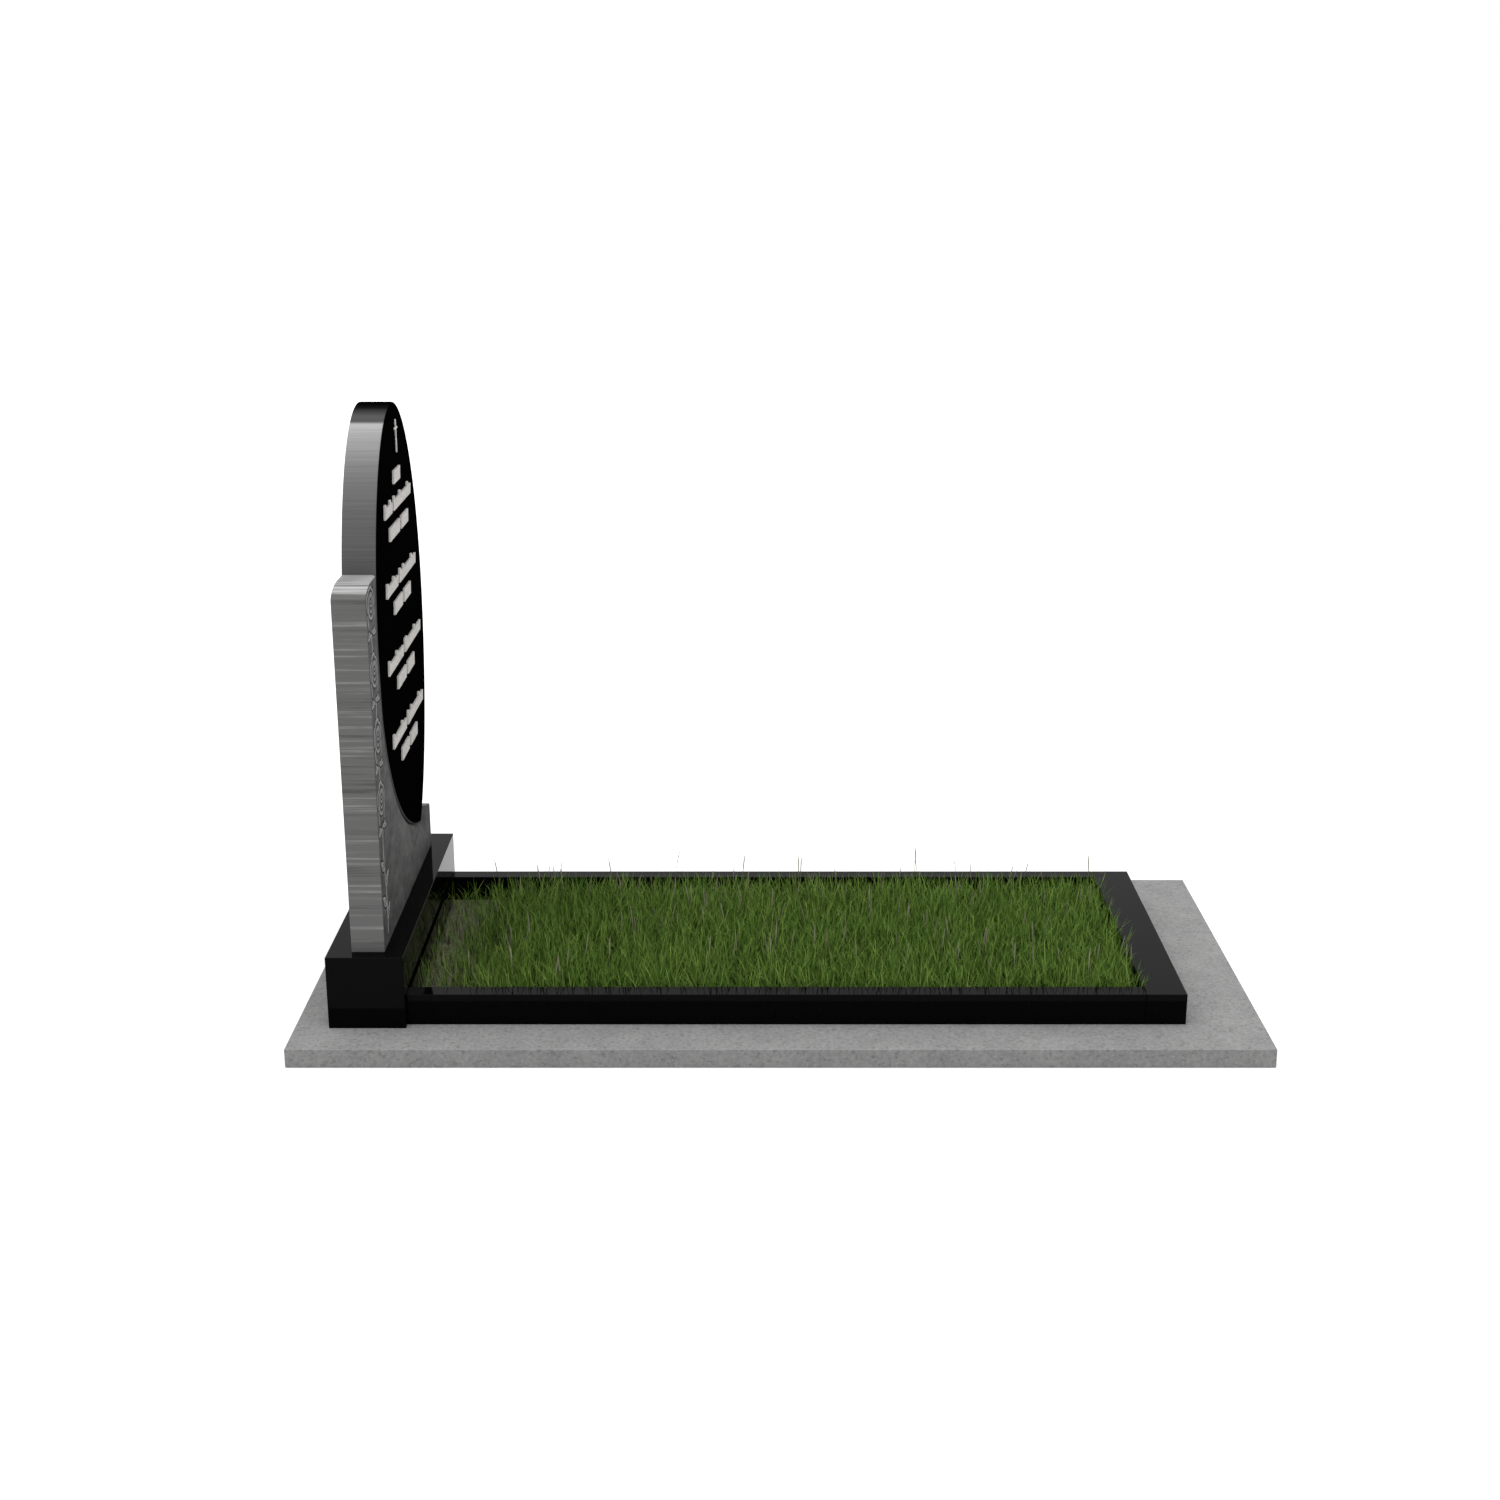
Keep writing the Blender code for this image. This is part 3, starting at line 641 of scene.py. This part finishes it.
def strokeTree(paint):
    tree, graph, size = newGeometryTree("raisedStrokes", [("Object", "Stroke"), ("Float", "Capital Height")])
    height = graph.add("GeometryNodeInputNamedAttribute", {"data_type": "FLOAT"}, {"Name": "strokeHeight"})
    stretch = graph.joined(1.0, 1.0, height / size["Capital Height"])
    shape = graph.add("GeometryNodeObjectInfo", {}, {"Object": size["Stroke"]}, output="Geometry")
    placed = graph.add("GeometryNodeInstanceOnPoints", {}, {
        "Points": size["Geometry"], "Instance": shape, "Scale": stretch,
    })
    endTree(graph, placed, paint)
    return tree


def makeInscription():
    paint = inscriptionPaint()
    width, lean = inscription["strokeWidth"], inscription["strokeLean"]
    tall = inscription["capitalHeight"]
    outline = ((0.0, 0.0), (width, 0.0), (width + lean, tall), (lean, tall))
    stroke = newObject("strokeShape", barMesh("strokeShape", outline, tablet["strokeRelief"]))
    inputs = {"Stroke": stroke, "Capital Height": tall}
    piece = grow("inscriptionStrokes", strokeSeeds(), strokeTree(paint), inputs)
    bpy.data.objects.remove(stroke, do_unlink=True)
    finishPiece(piece, "inscription_paint")
    makeCross(paint)


cross = {
    "offset": 0.042,   # both from the tablet's centre
    "foot": 0.399,
    "height": 0.076,
    "width": 0.034,
    "bar": 0.005,
    "armDrop": 0.020,
    "relief": 0.003,
}


def makeCross(paint):
    bar, reach = cross["bar"] / 2, cross["width"] / 2
    top = cross["height"]
    arm = top - cross["armDrop"]
    under, over = arm - bar, arm + bar
    right = [(bar, 0.0), (bar, under), (reach, under), (reach, over), (bar, over), (bar, top)]
    outline = right + [(-x, z) for x, z in reversed(right)]
    mesh = barMesh("raisedCross", outline, cross["relief"])
    foot = tabletCentre[1] + cross["foot"]
    mesh.transform(Matrix.Translation((tabletCentre[0] + cross["offset"], stoneFront, foot)))
    mesh.materials.append(paint)
    finishPiece(newObject("raisedCross", mesh), "inscription_paint")


# Surround: loops from front to back, with the carved roses as a fine relief let into its face
surround = {
    "arris": 0.002,
    "shoulderRound": (0.081, 0.031),
    "hornHeight": 0.114,
    "hornSlope": 0.274,
    "hornRound": 0.008,
    "hornSteps": 4,
    "cradleSteps": (8, 90, 60),   # under the horn, under the tablet's foot, up its left side
    "shoulderSteps": 12,
    "panelRight": 0.104,   # right edge of the carved panel, from the surround's left side
    "panelMargin": 0.0025,
    "panelFoot": 0.006,
    "panelGrid": 0.0012,
    "rimFade": 0.0015,
    "leastRelief": 0.0002,
    "moatCells": 3,        # a shallow sunk line runs round what is carved
    "moatDepth": 0.0006,
    "carveCells": 5,       # reach over which grooves are told from lips
    "carveHeight": 0.0006,
}
rose = {
    "heights": (0.335, 0.480, 0.630, 0.782),   # above the base
    "inset": 0.051,
    "halfWidth": 0.045,
    "halfHeight": 0.056,
    "relief": 0.002,
    "turn": 0.5,        # how far the petals of one rose turn against those of the next
    "turnStep": 2.1,
    "bowl": (0.15, 0.85),   # where a petal's hollow and its rolled lip lie, as shares of its radius
    "lip": (0.88, 1.0),
    "lipDrop": 0.30,
    # petals from the back to the front: centre, half sizes, tilt, height of the rim, depth of the bowl,
    # and how far the petal sinks towards its foot
    "petals": (
        ((-0.48, 0.24), (0.50, 0.50), 0.5, 0.46, 0.24, 0.2),
        ((0.48, 0.24), (0.50, 0.50), -0.5, 0.46, 0.24, 0.2),
        ((0.00, 0.50), (0.56, 0.48), 0.0, 0.52, 0.26, 0.0),
        ((0.34, -0.28), (0.56, 0.62), 0.35, 0.66, -0.10, 0.7),
        ((-0.16, -0.30), (0.70, 0.68), -0.25, 0.76, -0.10, 0.8),
        ((0.00, 0.10), (0.80, 0.56), -0.12, 0.86, 0.44, 0.0),
        ((0.04, 0.22), (0.58, 0.43), 0.10, 0.92, 0.44, 0.0),
        ((0.03, 0.32), (0.38, 0.28), -0.15, 0.97, 0.46, 0.0),
        ((0.05, 0.37), (0.19, 0.14), 0.20, 1.00, 0.50, 0.0),
    ),
}
leaf = {
    "length": 0.052,
    "width": 0.022,
    "relief": 0.0015,
    "teeth": 9,
    "toothDepth": 0.10,
    "veins": 7,
    "veinDepth": 0.12,
    "veinLean": 1.6,
    "sepalDrop": 0.75,       # below the bloom's middle, as a share of its half height
    "sepals": (205, 335),    # directions in degrees
    "low": ((0.10, 40), (0.22, 140), (0.36, 35), (0.50, 145)),   # share of the bare stem, direction
}
stem = {"width": 0.006, "relief": 0.001, "sway": 0.006, "waves": 3, "foot": 0.025}


def smoothStep(value, low, high):
    t = np.clip((value - low) / (high - low), 0.0, 1.0)
    return t * t * (3 - 2 * t)


def paintPetal(relief, u, v, centre, radii, tilt, rim, hollow, sink):
    # Lays one petal over what is carved so far: a bowl or a dome with a rolled lip, sinking to its foot
    du, dv = u - centre[0], v - centre[1]
    x = (du * math.cos(tilt) + dv * math.sin(tilt)) / radii[0]
    y = (dv * math.cos(tilt) - du * math.sin(tilt)) / radii[1]
    distance = np.hypot(x, y)
    form = rim - hollow * (1 - smoothStep(distance, *rose["bowl"]))
    form -= rose["lipDrop"] * smoothStep(distance, *rose["lip"])
    form *= 1 - sink * np.clip(0.5 - 0.5 * y, 0.0, 1.0)
    return np.where(distance < 1, form, relief)


def roseRelief(u, v, sway):
    # A cup of bowls set one in another, closed by two broad front petals; the sway sets roses apart
    relief = np.zeros_like(u)
    for centre, radii, tilt, rim, hollow, sink in rose["petals"]:
        relief = paintPetal(relief, u, v, centre, radii, tilt + sway * (1 - rim), rim, hollow, sink)
    return relief


def leafRelief(x, z, root, direction):
    # Height of a pointed leaf with a mid rib and side veins
    turn = math.radians(direction)
    along = ((x - root[0]) * math.cos(turn) + (z - root[1]) * math.sin(turn)) / leaf["length"]
    across = (z - root[1]) * math.cos(turn) - (x - root[0]) * math.sin(turn)
    inside = (along > 0.01) & (along < 0.99)
    t = np.clip(along, 0.01, 0.99)
    teeth = 1 + leaf["toothDepth"] * np.abs(np.sin(leaf["teeth"] * math.pi * t))
    half = leaf["width"] / 2 * np.sin(math.pi * t ** 0.8) * teeth
    share = np.abs(across) / half
    veins = leaf["veinDepth"] * np.cos(math.tau * (leaf["veins"] * t - leaf["veinLean"] * share))
    form = leaf["relief"] * (0.42 + 0.40 * (1 - share) + 0.25 * smoothStep(share, 0.16, 0.04) + veins)
    return np.where(inside & (share < 1), form * smoothStep(share, 1.0, 0.86), 0.0)


def panelRelief(x, z):
    # Height of the whole carved strip over the surround's face, in metres
    line = surroundLow.x + rose["inset"]
    heights = rose["heights"]
    t = (z - baseTop - stem["foot"]) / (heights[-1] - stem["foot"])
    off = (x - line - stem["sway"] * np.sin(stem["waves"] * math.tau * t)) / (stem["width"] / 2)
    relief = np.where((t > 0) & (t < 1), stem["relief"] * np.sqrt(np.clip(1 - off ** 2, 0, 1)), 0.0)
    for share, direction in leaf["low"]:
        root = (line, baseTop + stem["foot"] + (heights[0] - stem["foot"]) * share)
        relief = np.maximum(relief, leafRelief(x, z, root, direction))
    for k, height in enumerate(heights):
        middle = baseTop + height
        for direction in leaf["sepals"]:
            root = (line, middle - rose["halfHeight"] * leaf["sepalDrop"])
            relief = np.maximum(relief, leafRelief(x, z, root, direction))
        sway = rose["turn"] * math.sin(rose["turnStep"] * k)
        bloom = roseRelief((x - line) / rose["halfWidth"], (z - middle) / rose["halfHeight"], sway)
        relief = np.where(bloom > 0, rose["relief"] * bloom, relief)
    return relief


def softened(values, cells):
    # Mean over a square of neighbours, for telling grooves from ridges
    kernel = np.ones(2 * cells + 1) / (2 * cells + 1)
    padded = np.pad(values, cells, mode="edge")
    rows = np.apply_along_axis(np.convolve, 1, padded, kernel, mode="valid")
    return np.apply_along_axis(np.convolve, 0, rows, kernel, mode="valid")


def surroundLoop(depth):
    # The outline at one depth, anticlockwise from the left foot, and where the cradle starts and ends in it
    thickness = stoneBack - stoneFront
    arris = surround["arris"]
    edge = min(arris, depth, thickness - depth)
    inset = arris - math.sqrt(arris ** 2 - (arris - edge) ** 2)
    growth = cradle["gap"] + cradle["bevelWidth"] * max(0.0, 1 - depth / cradle["bevelDepth"])
    left, right = surroundLow.x + inset, surroundHigh.x - inset
    foot, head = surroundLow.z + inset, surroundHigh.z - inset
    wide, tall = surround["shoulderRound"]
    bend = surround["hornRound"]
    horn = baseTop + surround["hornHeight"]
    slope = surround["hornSlope"]

    def hornLine(x):
        return horn - inset + slope * (surroundHigh.x - bend - x)

    def isUnderHorn(turn):
        x, z = edgePoint(turn, growth, eggRadius)
        return z < hornLine(x)

    def isOverHead(turn):
        return edgePoint(turn, growth, eggRadius)[1] > head

    points = [(left, foot), (right, foot)]
    for i in range(surround["hornSteps"] + 1):
        turn = math.pi / 2 * i / surround["hornSteps"]
        x = surroundHigh.x - bend + (bend - inset) * math.cos(turn)
        points.append((x, horn - bend + (bend - inset) * math.sin(turn)))
    firstCradle = len(points)
    rightEnd = solveAngle(heelAngle, 0.2, isUnderHorn)
    leftEnd = solveAngle(-1.25 * math.pi, -math.pi, isOverHead)
    joint = solveAngle(-math.pi, -math.pi / 2, lambda turn: cradleRadius(turn) > eggRadius(turn))
    turns = (rightEnd, heelAngle, joint, leftEnd)
    curves = (eggRadius, cradleRadius, eggRadius)
    for start, end, radius, count in zip(turns, turns[1:], curves, surround["cradleSteps"]):
        for i in range(count + 1):
            points.append(edgePoint(start + (end - start) * i / count, growth, radius))
    lastCradle = len(points) - 1
    for i in range(surround["shoulderSteps"] + 1):
        turn = math.pi / 2 * (1 + i / surround["shoulderSteps"])
        x = surroundLow.x + wide + (wide - inset) * math.cos(turn)
        points.append((x, surroundHigh.z - tall + (tall - inset) * math.sin(turn)))
    return points, firstCradle, lastCradle


def carvedGrid(bm, layer):
    # Adds the carved panel and returns the edges of its rim; the layer tells grooves, 0, from lips, 1
    margin = surround["panelMargin"]
    xs = (surroundLow.x + margin, surroundLow.x + surround["panelRight"])
    foot = surroundLow.z + surround["panelFoot"]
    columns, rows = (int(reach / surround["panelGrid"]) for reach in (xs[1] - xs[0], surroundHigh.z - foot))
    x, share = np.meshgrid(np.linspace(*xs, columns + 1), np.linspace(0.0, 1.0, rows + 1))
    # The panel's head runs just under the rounded shoulder
    wide, tall = surround["shoulderRound"]
    across = np.clip((surroundLow.x + wide - x) / (wide - surround["arris"]), 0.0, 1.0)
    head = surroundHigh.z - tall + (tall - 2 * margin) * np.sqrt(1 - across ** 2)
    z = foot + (head - foot) * share
    rim = np.minimum(np.minimum(x - xs[0], xs[1] - x), np.minimum(z - foot, head - z))
    relief = panelRelief(x, z)
    isCarved = relief > surround["leastRelief"]
    nearby = softened(isCarved.astype(float), surround["moatCells"])
    relief = np.where(isCarved, relief, -surround["moatDepth"] * smoothStep(nearby, 0.0, 0.4))
    relief *= smoothStep(rim, 0.0, surround["rimFade"])
    # This layer steers the face's painted shade in grooves and painted highlights on lips
    carve = 0.5 + (relief - softened(relief, surround["carveCells"])) / surround["carveHeight"]
    grid = []
    for j in range(rows + 1):
        line = [bm.verts.new((x[j, i], stoneFront - relief[j, i], z[j, i])) for i in range(columns + 1)]
        for i, vert in enumerate(line):
            vert[layer] = min(1.0, max(0.0, carve[j, i]))
        grid.append(line)
    loop = gridFaces(bm, grid)
    return [bm.edges.get((loop[i - 1], loop[i])) for i in range(len(loop))]


def makeSurround():
    arris, thickness = surround["arris"], stoneBack - stoneFront
    depths = [0.0, arris * 0.15, arris * 0.5, arris, 0.5 * cradle["bevelDepth"], cradle["bevelDepth"],
              thickness - arris, thickness - arris * 0.5, thickness - arris * 0.15, thickness]
    bm = bmesh.new()
    layer = bm.verts.layers.float.new("carve")
    loops = []
    for depth in depths:
        points, first, last = surroundLoop(depth)
        loops.append([bm.verts.new((x, stoneFront + depth, z)) for x, z in points])
        for vert in loops[-1]:
            vert[layer] = 0.5
    for near, far in zip(loops, loops[1:]):
        for i in range(len(near)):
            j = (i + 1) % len(near)
            side = bm.faces.new((near[i], near[j], far[j], far[i]))
            side.material_index = 0 if first <= i < last else 1
            side.smooth = True
    bm.faces.new(loops[-1])
    front = [bm.edges.get((loops[0][i - 1], loops[0][i])) for i in range(len(loops[0]))]
    bmesh.ops.triangle_fill(bm, use_beauty=True, edges=front + carvedGrid(bm, layer))
    bmesh.ops.recalc_face_normals(bm, faces=bm.faces)
    mesh = meshFrom(bm, "roseSurround")
    mesh.materials.append(surroundFaceStone())
    mesh.materials.append(surroundSideStone(surroundHigh.z))
    mesh.set_sharp_from_angle(angle=math.radians(50))
    finishPiece(newObject("roseSurround", mesh), "grey_granite", "rose_surround")


# Bed: bumpy soil, and grass that thins out towards the headstone
soil = {
    "grid": 0.0085,
    "roll": 0.0022,   # height of the broad unevenness
    "rollScale": 22.0,
    "clod": 0.0014,
    "clodScale": 85.0,
}


def soilSurface(closed):
    columns = int((soilHigh.x - soilLow.x) / soil["grid"])
    rows = int((soilHigh.y - soilLow.y) / soil["grid"])
    bm = bmesh.new()
    grid = []
    for j in range(rows + 1):
        y = soilLow.y + (soilHigh.y - soilLow.y) * j / rows
        line = []
        for i in range(columns + 1):
            x = soilLow.x + (soilHigh.x - soilLow.x) * i / columns
            spot = Vector((x, y, 0.0))
            bump = soil["roll"] * noise.noise(spot * soil["rollScale"])
            bump += soil["clod"] * noise.noise(spot * soil["clodScale"])
            line.append(bm.verts.new((x, y, soilHigh.z + bump)))
        grid.append(line)
    rim = gridFaces(bm, grid)
    if closed:
        under = [bm.verts.new((vert.co.x, vert.co.y, soilLow.z)) for vert in rim]
        for i in range(len(rim)):
            j = (i + 1) % len(rim)
            bm.faces.new((rim[j], rim[i], under[i], under[j]))
        bm.faces.new(under[::-1])
        bmesh.ops.recalc_face_normals(bm, faces=bm.faces)
    return meshFrom(bm, "soilSurface")


def makeSoil():
    mesh = soilSurface(closed=True)
    mesh.materials.append(bedSoil(soilHigh.y))
    finishPiece(newObject("soilBed", mesh), "soil", "soil_bed")


grass = {
    "seed": 7,
    "lean": 0.24,
    # blade shapes: length, bend to the side as a share of the length, blades for each square metre
    "shapes": ((0.108, 0.12, 7200), (0.112, 0.36, 6600), (0.092, 0.66, 5000)),
    "scale": (0.50, 1.12),
    "halfWidth": 0.0014,
    "keel": 0.0007,
    "levels": ((0.0, 0.80), (0.40, 1.0), (0.75, 0.65)),   # rise, share of the width
    "bareShare": 0.14,    # blades at the headstone, as a share of those further off
    "bareReach": 0.21,
    "farShare": 0.74,     # height at the right kerb, as a share of the height in the middle
    "farReach": 0.10,
    "clear": 0.003,       # room to the kerbs' inner faces
    "give": 0.04,         # share of a blade's lean that is left where a kerb stops it
}
stalk = {
    "seed": 31,
    "lean": 0.10,
    "length": 0.150,
    "bend": 0.10,
    "density": 110,       # stalks for each square metre
    "scale": (0.80, 1.05),
    "farShare": 1.0,
    # rise, half width: thin up to the seed head
    "levels": ((0.0, 0.0008), (0.60, 0.0007), (0.74, 0.0014), (0.88, 0.0015), (0.95, 0.0009)),
}


def sproutMesh(name, length, bend, levels):
    # A three-sided sprout that bends over as it rises; each level is its rise, half width and keel
    bm = bmesh.new()
    rises = []

    def addVertex(x, y, rise):
        rises.append(rise)
        droop = bend * rise ** 2
        return bm.verts.new((x + length * droop, y, length * rise * (1 - 0.35 * bend * rise)))

    rings = []
    for rise, half, keel in levels:
        rings.append([addVertex(0.0, -half, rise), addVertex(0.0, half, rise), addVertex(-keel, 0.0, rise)])
    tip = addVertex(0.0, 0.0, 1.0)
    bm.faces.new(rings[0])
    for low, high in zip(rings, rings[1:]):
        for i in range(3):
            j = (i + 1) % 3
            bm.faces.new((low[i], low[j], high[j], high[i])).smooth = True
    for i in range(3):
        bm.faces.new((rings[-1][i], rings[-1][(i + 1) % 3], tip)).smooth = True
    bmesh.ops.recalc_face_normals(bm, faces=bm.faces)
    mesh = meshFrom(bm, name)
    mesh.attributes.new("rise", "FLOAT", "POINT").data.foreach_set("value", rises)
    return newObject(name, mesh)


def scatterTree(material):
    # Stands copies of a shape on the bed at random, fewer and shorter towards the headstone
    tree, graph, size = newGeometryTree("scatterOverBed", [
        ("Object", "Shape"), ("Float", "Density"), ("Float", "Bare Share"), ("Float", "Bare Reach"),
        ("Float", "Head"), ("Float", "Far Share"), ("Float", "Far Reach"), ("Float", "Far Side"),
        ("Float", "Scale Low"), ("Float", "Scale High"), ("Float", "Lean"), ("Int", "Seed"),
        ("Vector", "Bed Low"), ("Vector", "Bed High"), ("Float", "Kerb Top"), ("Float", "Give"),
    ])
    spot = graph.parts(graph.add("GeometryNodeInputPosition"))
    reach = ((size["Head"] - spot["Y"]) / size["Bare Reach"]).clamped()
    far = ((size["Far Side"] - spot["X"]) / size["Far Reach"]).clamped()
    rise = size["Far Share"] + (1 - size["Far Share"]) * far
    share = size["Bare Share"] + (1 - size["Bare Share"]) * reach ** 1.5
    points = graph.add("GeometryNodeDistributePointsOnFaces", {"distribute_method": "RANDOM"}, {
        "Mesh": size["Geometry"], "Density": size["Density"] * share, "Seed": size["Seed"],
    }, output="Points")
    lean = graph.joined(size["Lean"], size["Lean"], math.pi)
    back = graph.add("ShaderNodeVectorMath", {"operation": "SCALE"}, {"Vector": lean, "Scale": -1.0})
    turn = graph.add("FunctionNodeRandomValue", {"data_type": "FLOAT_VECTOR"}, {
        0: back, 1: lean, "Seed": size["Seed"] + 1,
    })
    scale = graph.add("FunctionNodeRandomValue", {"data_type": "FLOAT"}, {
        2: size["Scale Low"], 3: size["Scale High"], "Seed": size["Seed"] + 2,
    }, output=1)
    tint = graph.add("FunctionNodeRandomValue", {"data_type": "FLOAT"}, {
        2: 0.0, 3: 1.0, "Seed": size["Seed"] + 3,
    }, output=1)
    shape = graph.add("GeometryNodeObjectInfo", {}, {"Object": size["Shape"]}, output="Geometry")
    stood = graph.add("GeometryNodeInstanceOnPoints", {}, {
        "Points": points, "Instance": shape, "Scale": scale * rise * (0.8 + 0.2 * reach),
        "Rotation": graph.add("FunctionNodeEulerToRotation", {}, [turn]),
    })
    tinted = graph.add("GeometryNodeStoreNamedAttribute", {"data_type": "FLOAT", "domain": "INSTANCE"}, {
        "Geometry": stood, "Name": "tint", "Value": tint,
    })
    # The kerbs and the head strip hold the blades in, so they lean out only above the kerbs
    real = graph.add("GeometryNodeRealizeInstances", {}, {"Geometry": tinted})
    where = graph.add("GeometryNodeInputPosition")
    over = (spot["Z"] - size["Kerb Top"]).math("MAXIMUM", 0.0)
    low = graph.vector("SUBTRACT", size["Bed Low"], graph.joined(over, over, 1.0))
    high = graph.vector("ADD", size["Bed High"], graph.joined(over, 0.0, 1.0))
    kept = graph.vector("MINIMUM", graph.vector("MAXIMUM", where, low), high)
    values = {0: size["Give"], 4: kept, 5: where}
    pressed = graph.add("ShaderNodeMix", {"data_type": "VECTOR"}, values, output=1)
    inside = graph.add("GeometryNodeSetPosition", {}, {"Geometry": real, "Position": pressed})
    endTree(graph, inside, material)
    return tree


def scatter(name, shape, tree, density, plant, seed):
    # Grows one kind of sprout over the bed
    clear = Vector((grass["clear"],) * 3)
    piece = grow(name, soilSurface(closed=False), tree, {
        "Shape": shape, "Density": float(density), "Bare Share": grass["bareShare"],
        "Bare Reach": grass["bareReach"], "Head": soilHigh.y, "Far Share": plant["farShare"],
        "Far Reach": grass["farReach"], "Far Side": soilHigh.x, "Scale Low": plant["scale"][0],
        "Scale High": plant["scale"][1], "Lean": plant["lean"], "Seed": seed,
        "Bed Low": soilLow + clear, "Bed High": soilHigh - clear, "Kerb Top": kerbTop, "Give": grass["give"],
    })
    bpy.data.objects.remove(shape, do_unlink=True)
    return piece


def makeGrass():
    tree = scatterTree(grassGreen())
    levels = [(rise, grass["halfWidth"] * share, grass["keel"] * share) for rise, share in grass["levels"]]
    for number, (length, bend, density) in enumerate(grass["shapes"]):
        shape = sproutMesh("bladeShape", length, bend, levels)
        piece = scatter(f"grassBlades{number + 1}", shape, tree, density, grass, grass["seed"] + 10 * number)
        finishPiece(piece, "grass", "grass")
    levels = [(rise, half, half) for rise, half in stalk["levels"]]
    shape = sproutMesh("stalkShape", stalk["length"], stalk["bend"], levels)
    piece = scatter("seedStalks", shape, scatterTree(seedStraw()), stalk["density"], stalk, stalk["seed"])
    finishPiece(piece, "grass")


def dressNodes():
    black = polishedGranite()
    finishes = {name: black for name in ("base_block", "left_kerb", "right_kerb", "foot_kerb")}
    finishes["head_strip"] = headStripStone(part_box("head_strip")[1].z)
    finishes["foundation_slab"] = slabStone(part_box("foundation_slab")[1].z)
    for name, finish in finishes.items():
        nodes[name].data.materials.clear()
        nodes[name].data.materials.append(finish)


studio = {
    "cameraPlace": (-4.7392, 0.0680, 2.0406),
    "cameraDown": 17.19,
    "lens": 50.0,
    "sensor": 36.0,
    "world": 1.0,
    "sunStrength": 1.9,
    "sunSpread": 70.0,
    "sunTilt": (8.0, -14.0),   # towards the front and towards the camera's side, in degrees
    "floorSize": 60.0,
}


def makeStudio():
    scene = bpy.context.scene
    scene.view_settings.view_transform = "Standard"
    scene.view_settings.look = "None"
    world = bpy.data.worlds.new("studioWorld")
    world.use_nodes = True
    background = world.node_tree.nodes["Background"]
    background.inputs["Color"].default_value = (1.0, 1.0, 1.0, 1.0)
    background.inputs["Strength"].default_value = studio["world"]
    scene.world = world

    sun = bpy.data.lights.new("overheadSoft", "SUN")
    sun.energy = studio["sunStrength"]
    sun.angle = math.radians(studio["sunSpread"])
    lamp = newObject("overheadSoft", sun)
    lamp.rotation_euler = [math.radians(v) for v in (-studio["sunTilt"][0], studio["sunTilt"][1], 0.0)]

    camera = bpy.data.cameras.new("photoCamera")
    camera.lens = studio["lens"]
    camera.sensor_width = studio["sensor"]
    view = newObject("photoCamera", camera)
    view.location = studio["cameraPlace"]
    view.rotation_euler = (math.radians(90 - studio["cameraDown"]), 0.0, math.radians(-90))
    scene.camera = view

    bm = bmesh.new()
    bmesh.ops.create_grid(bm, x_segments=8, y_segments=8, size=studio["floorSize"] / 2)
    bmesh.ops.translate(bm, verts=bm.verts, vec=(0.0, 0.0, -0.0005))
    floor = newObject("studioFloor", meshFrom(bm, "studioFloor"))
    floor.data.materials.append(paleFloor())


makeStudio()
print("studio made")
dressNodes()
makeTablet()
makeInscription()
makeSurround()
makeSoil()
makeGrass()
print("all pieces made")
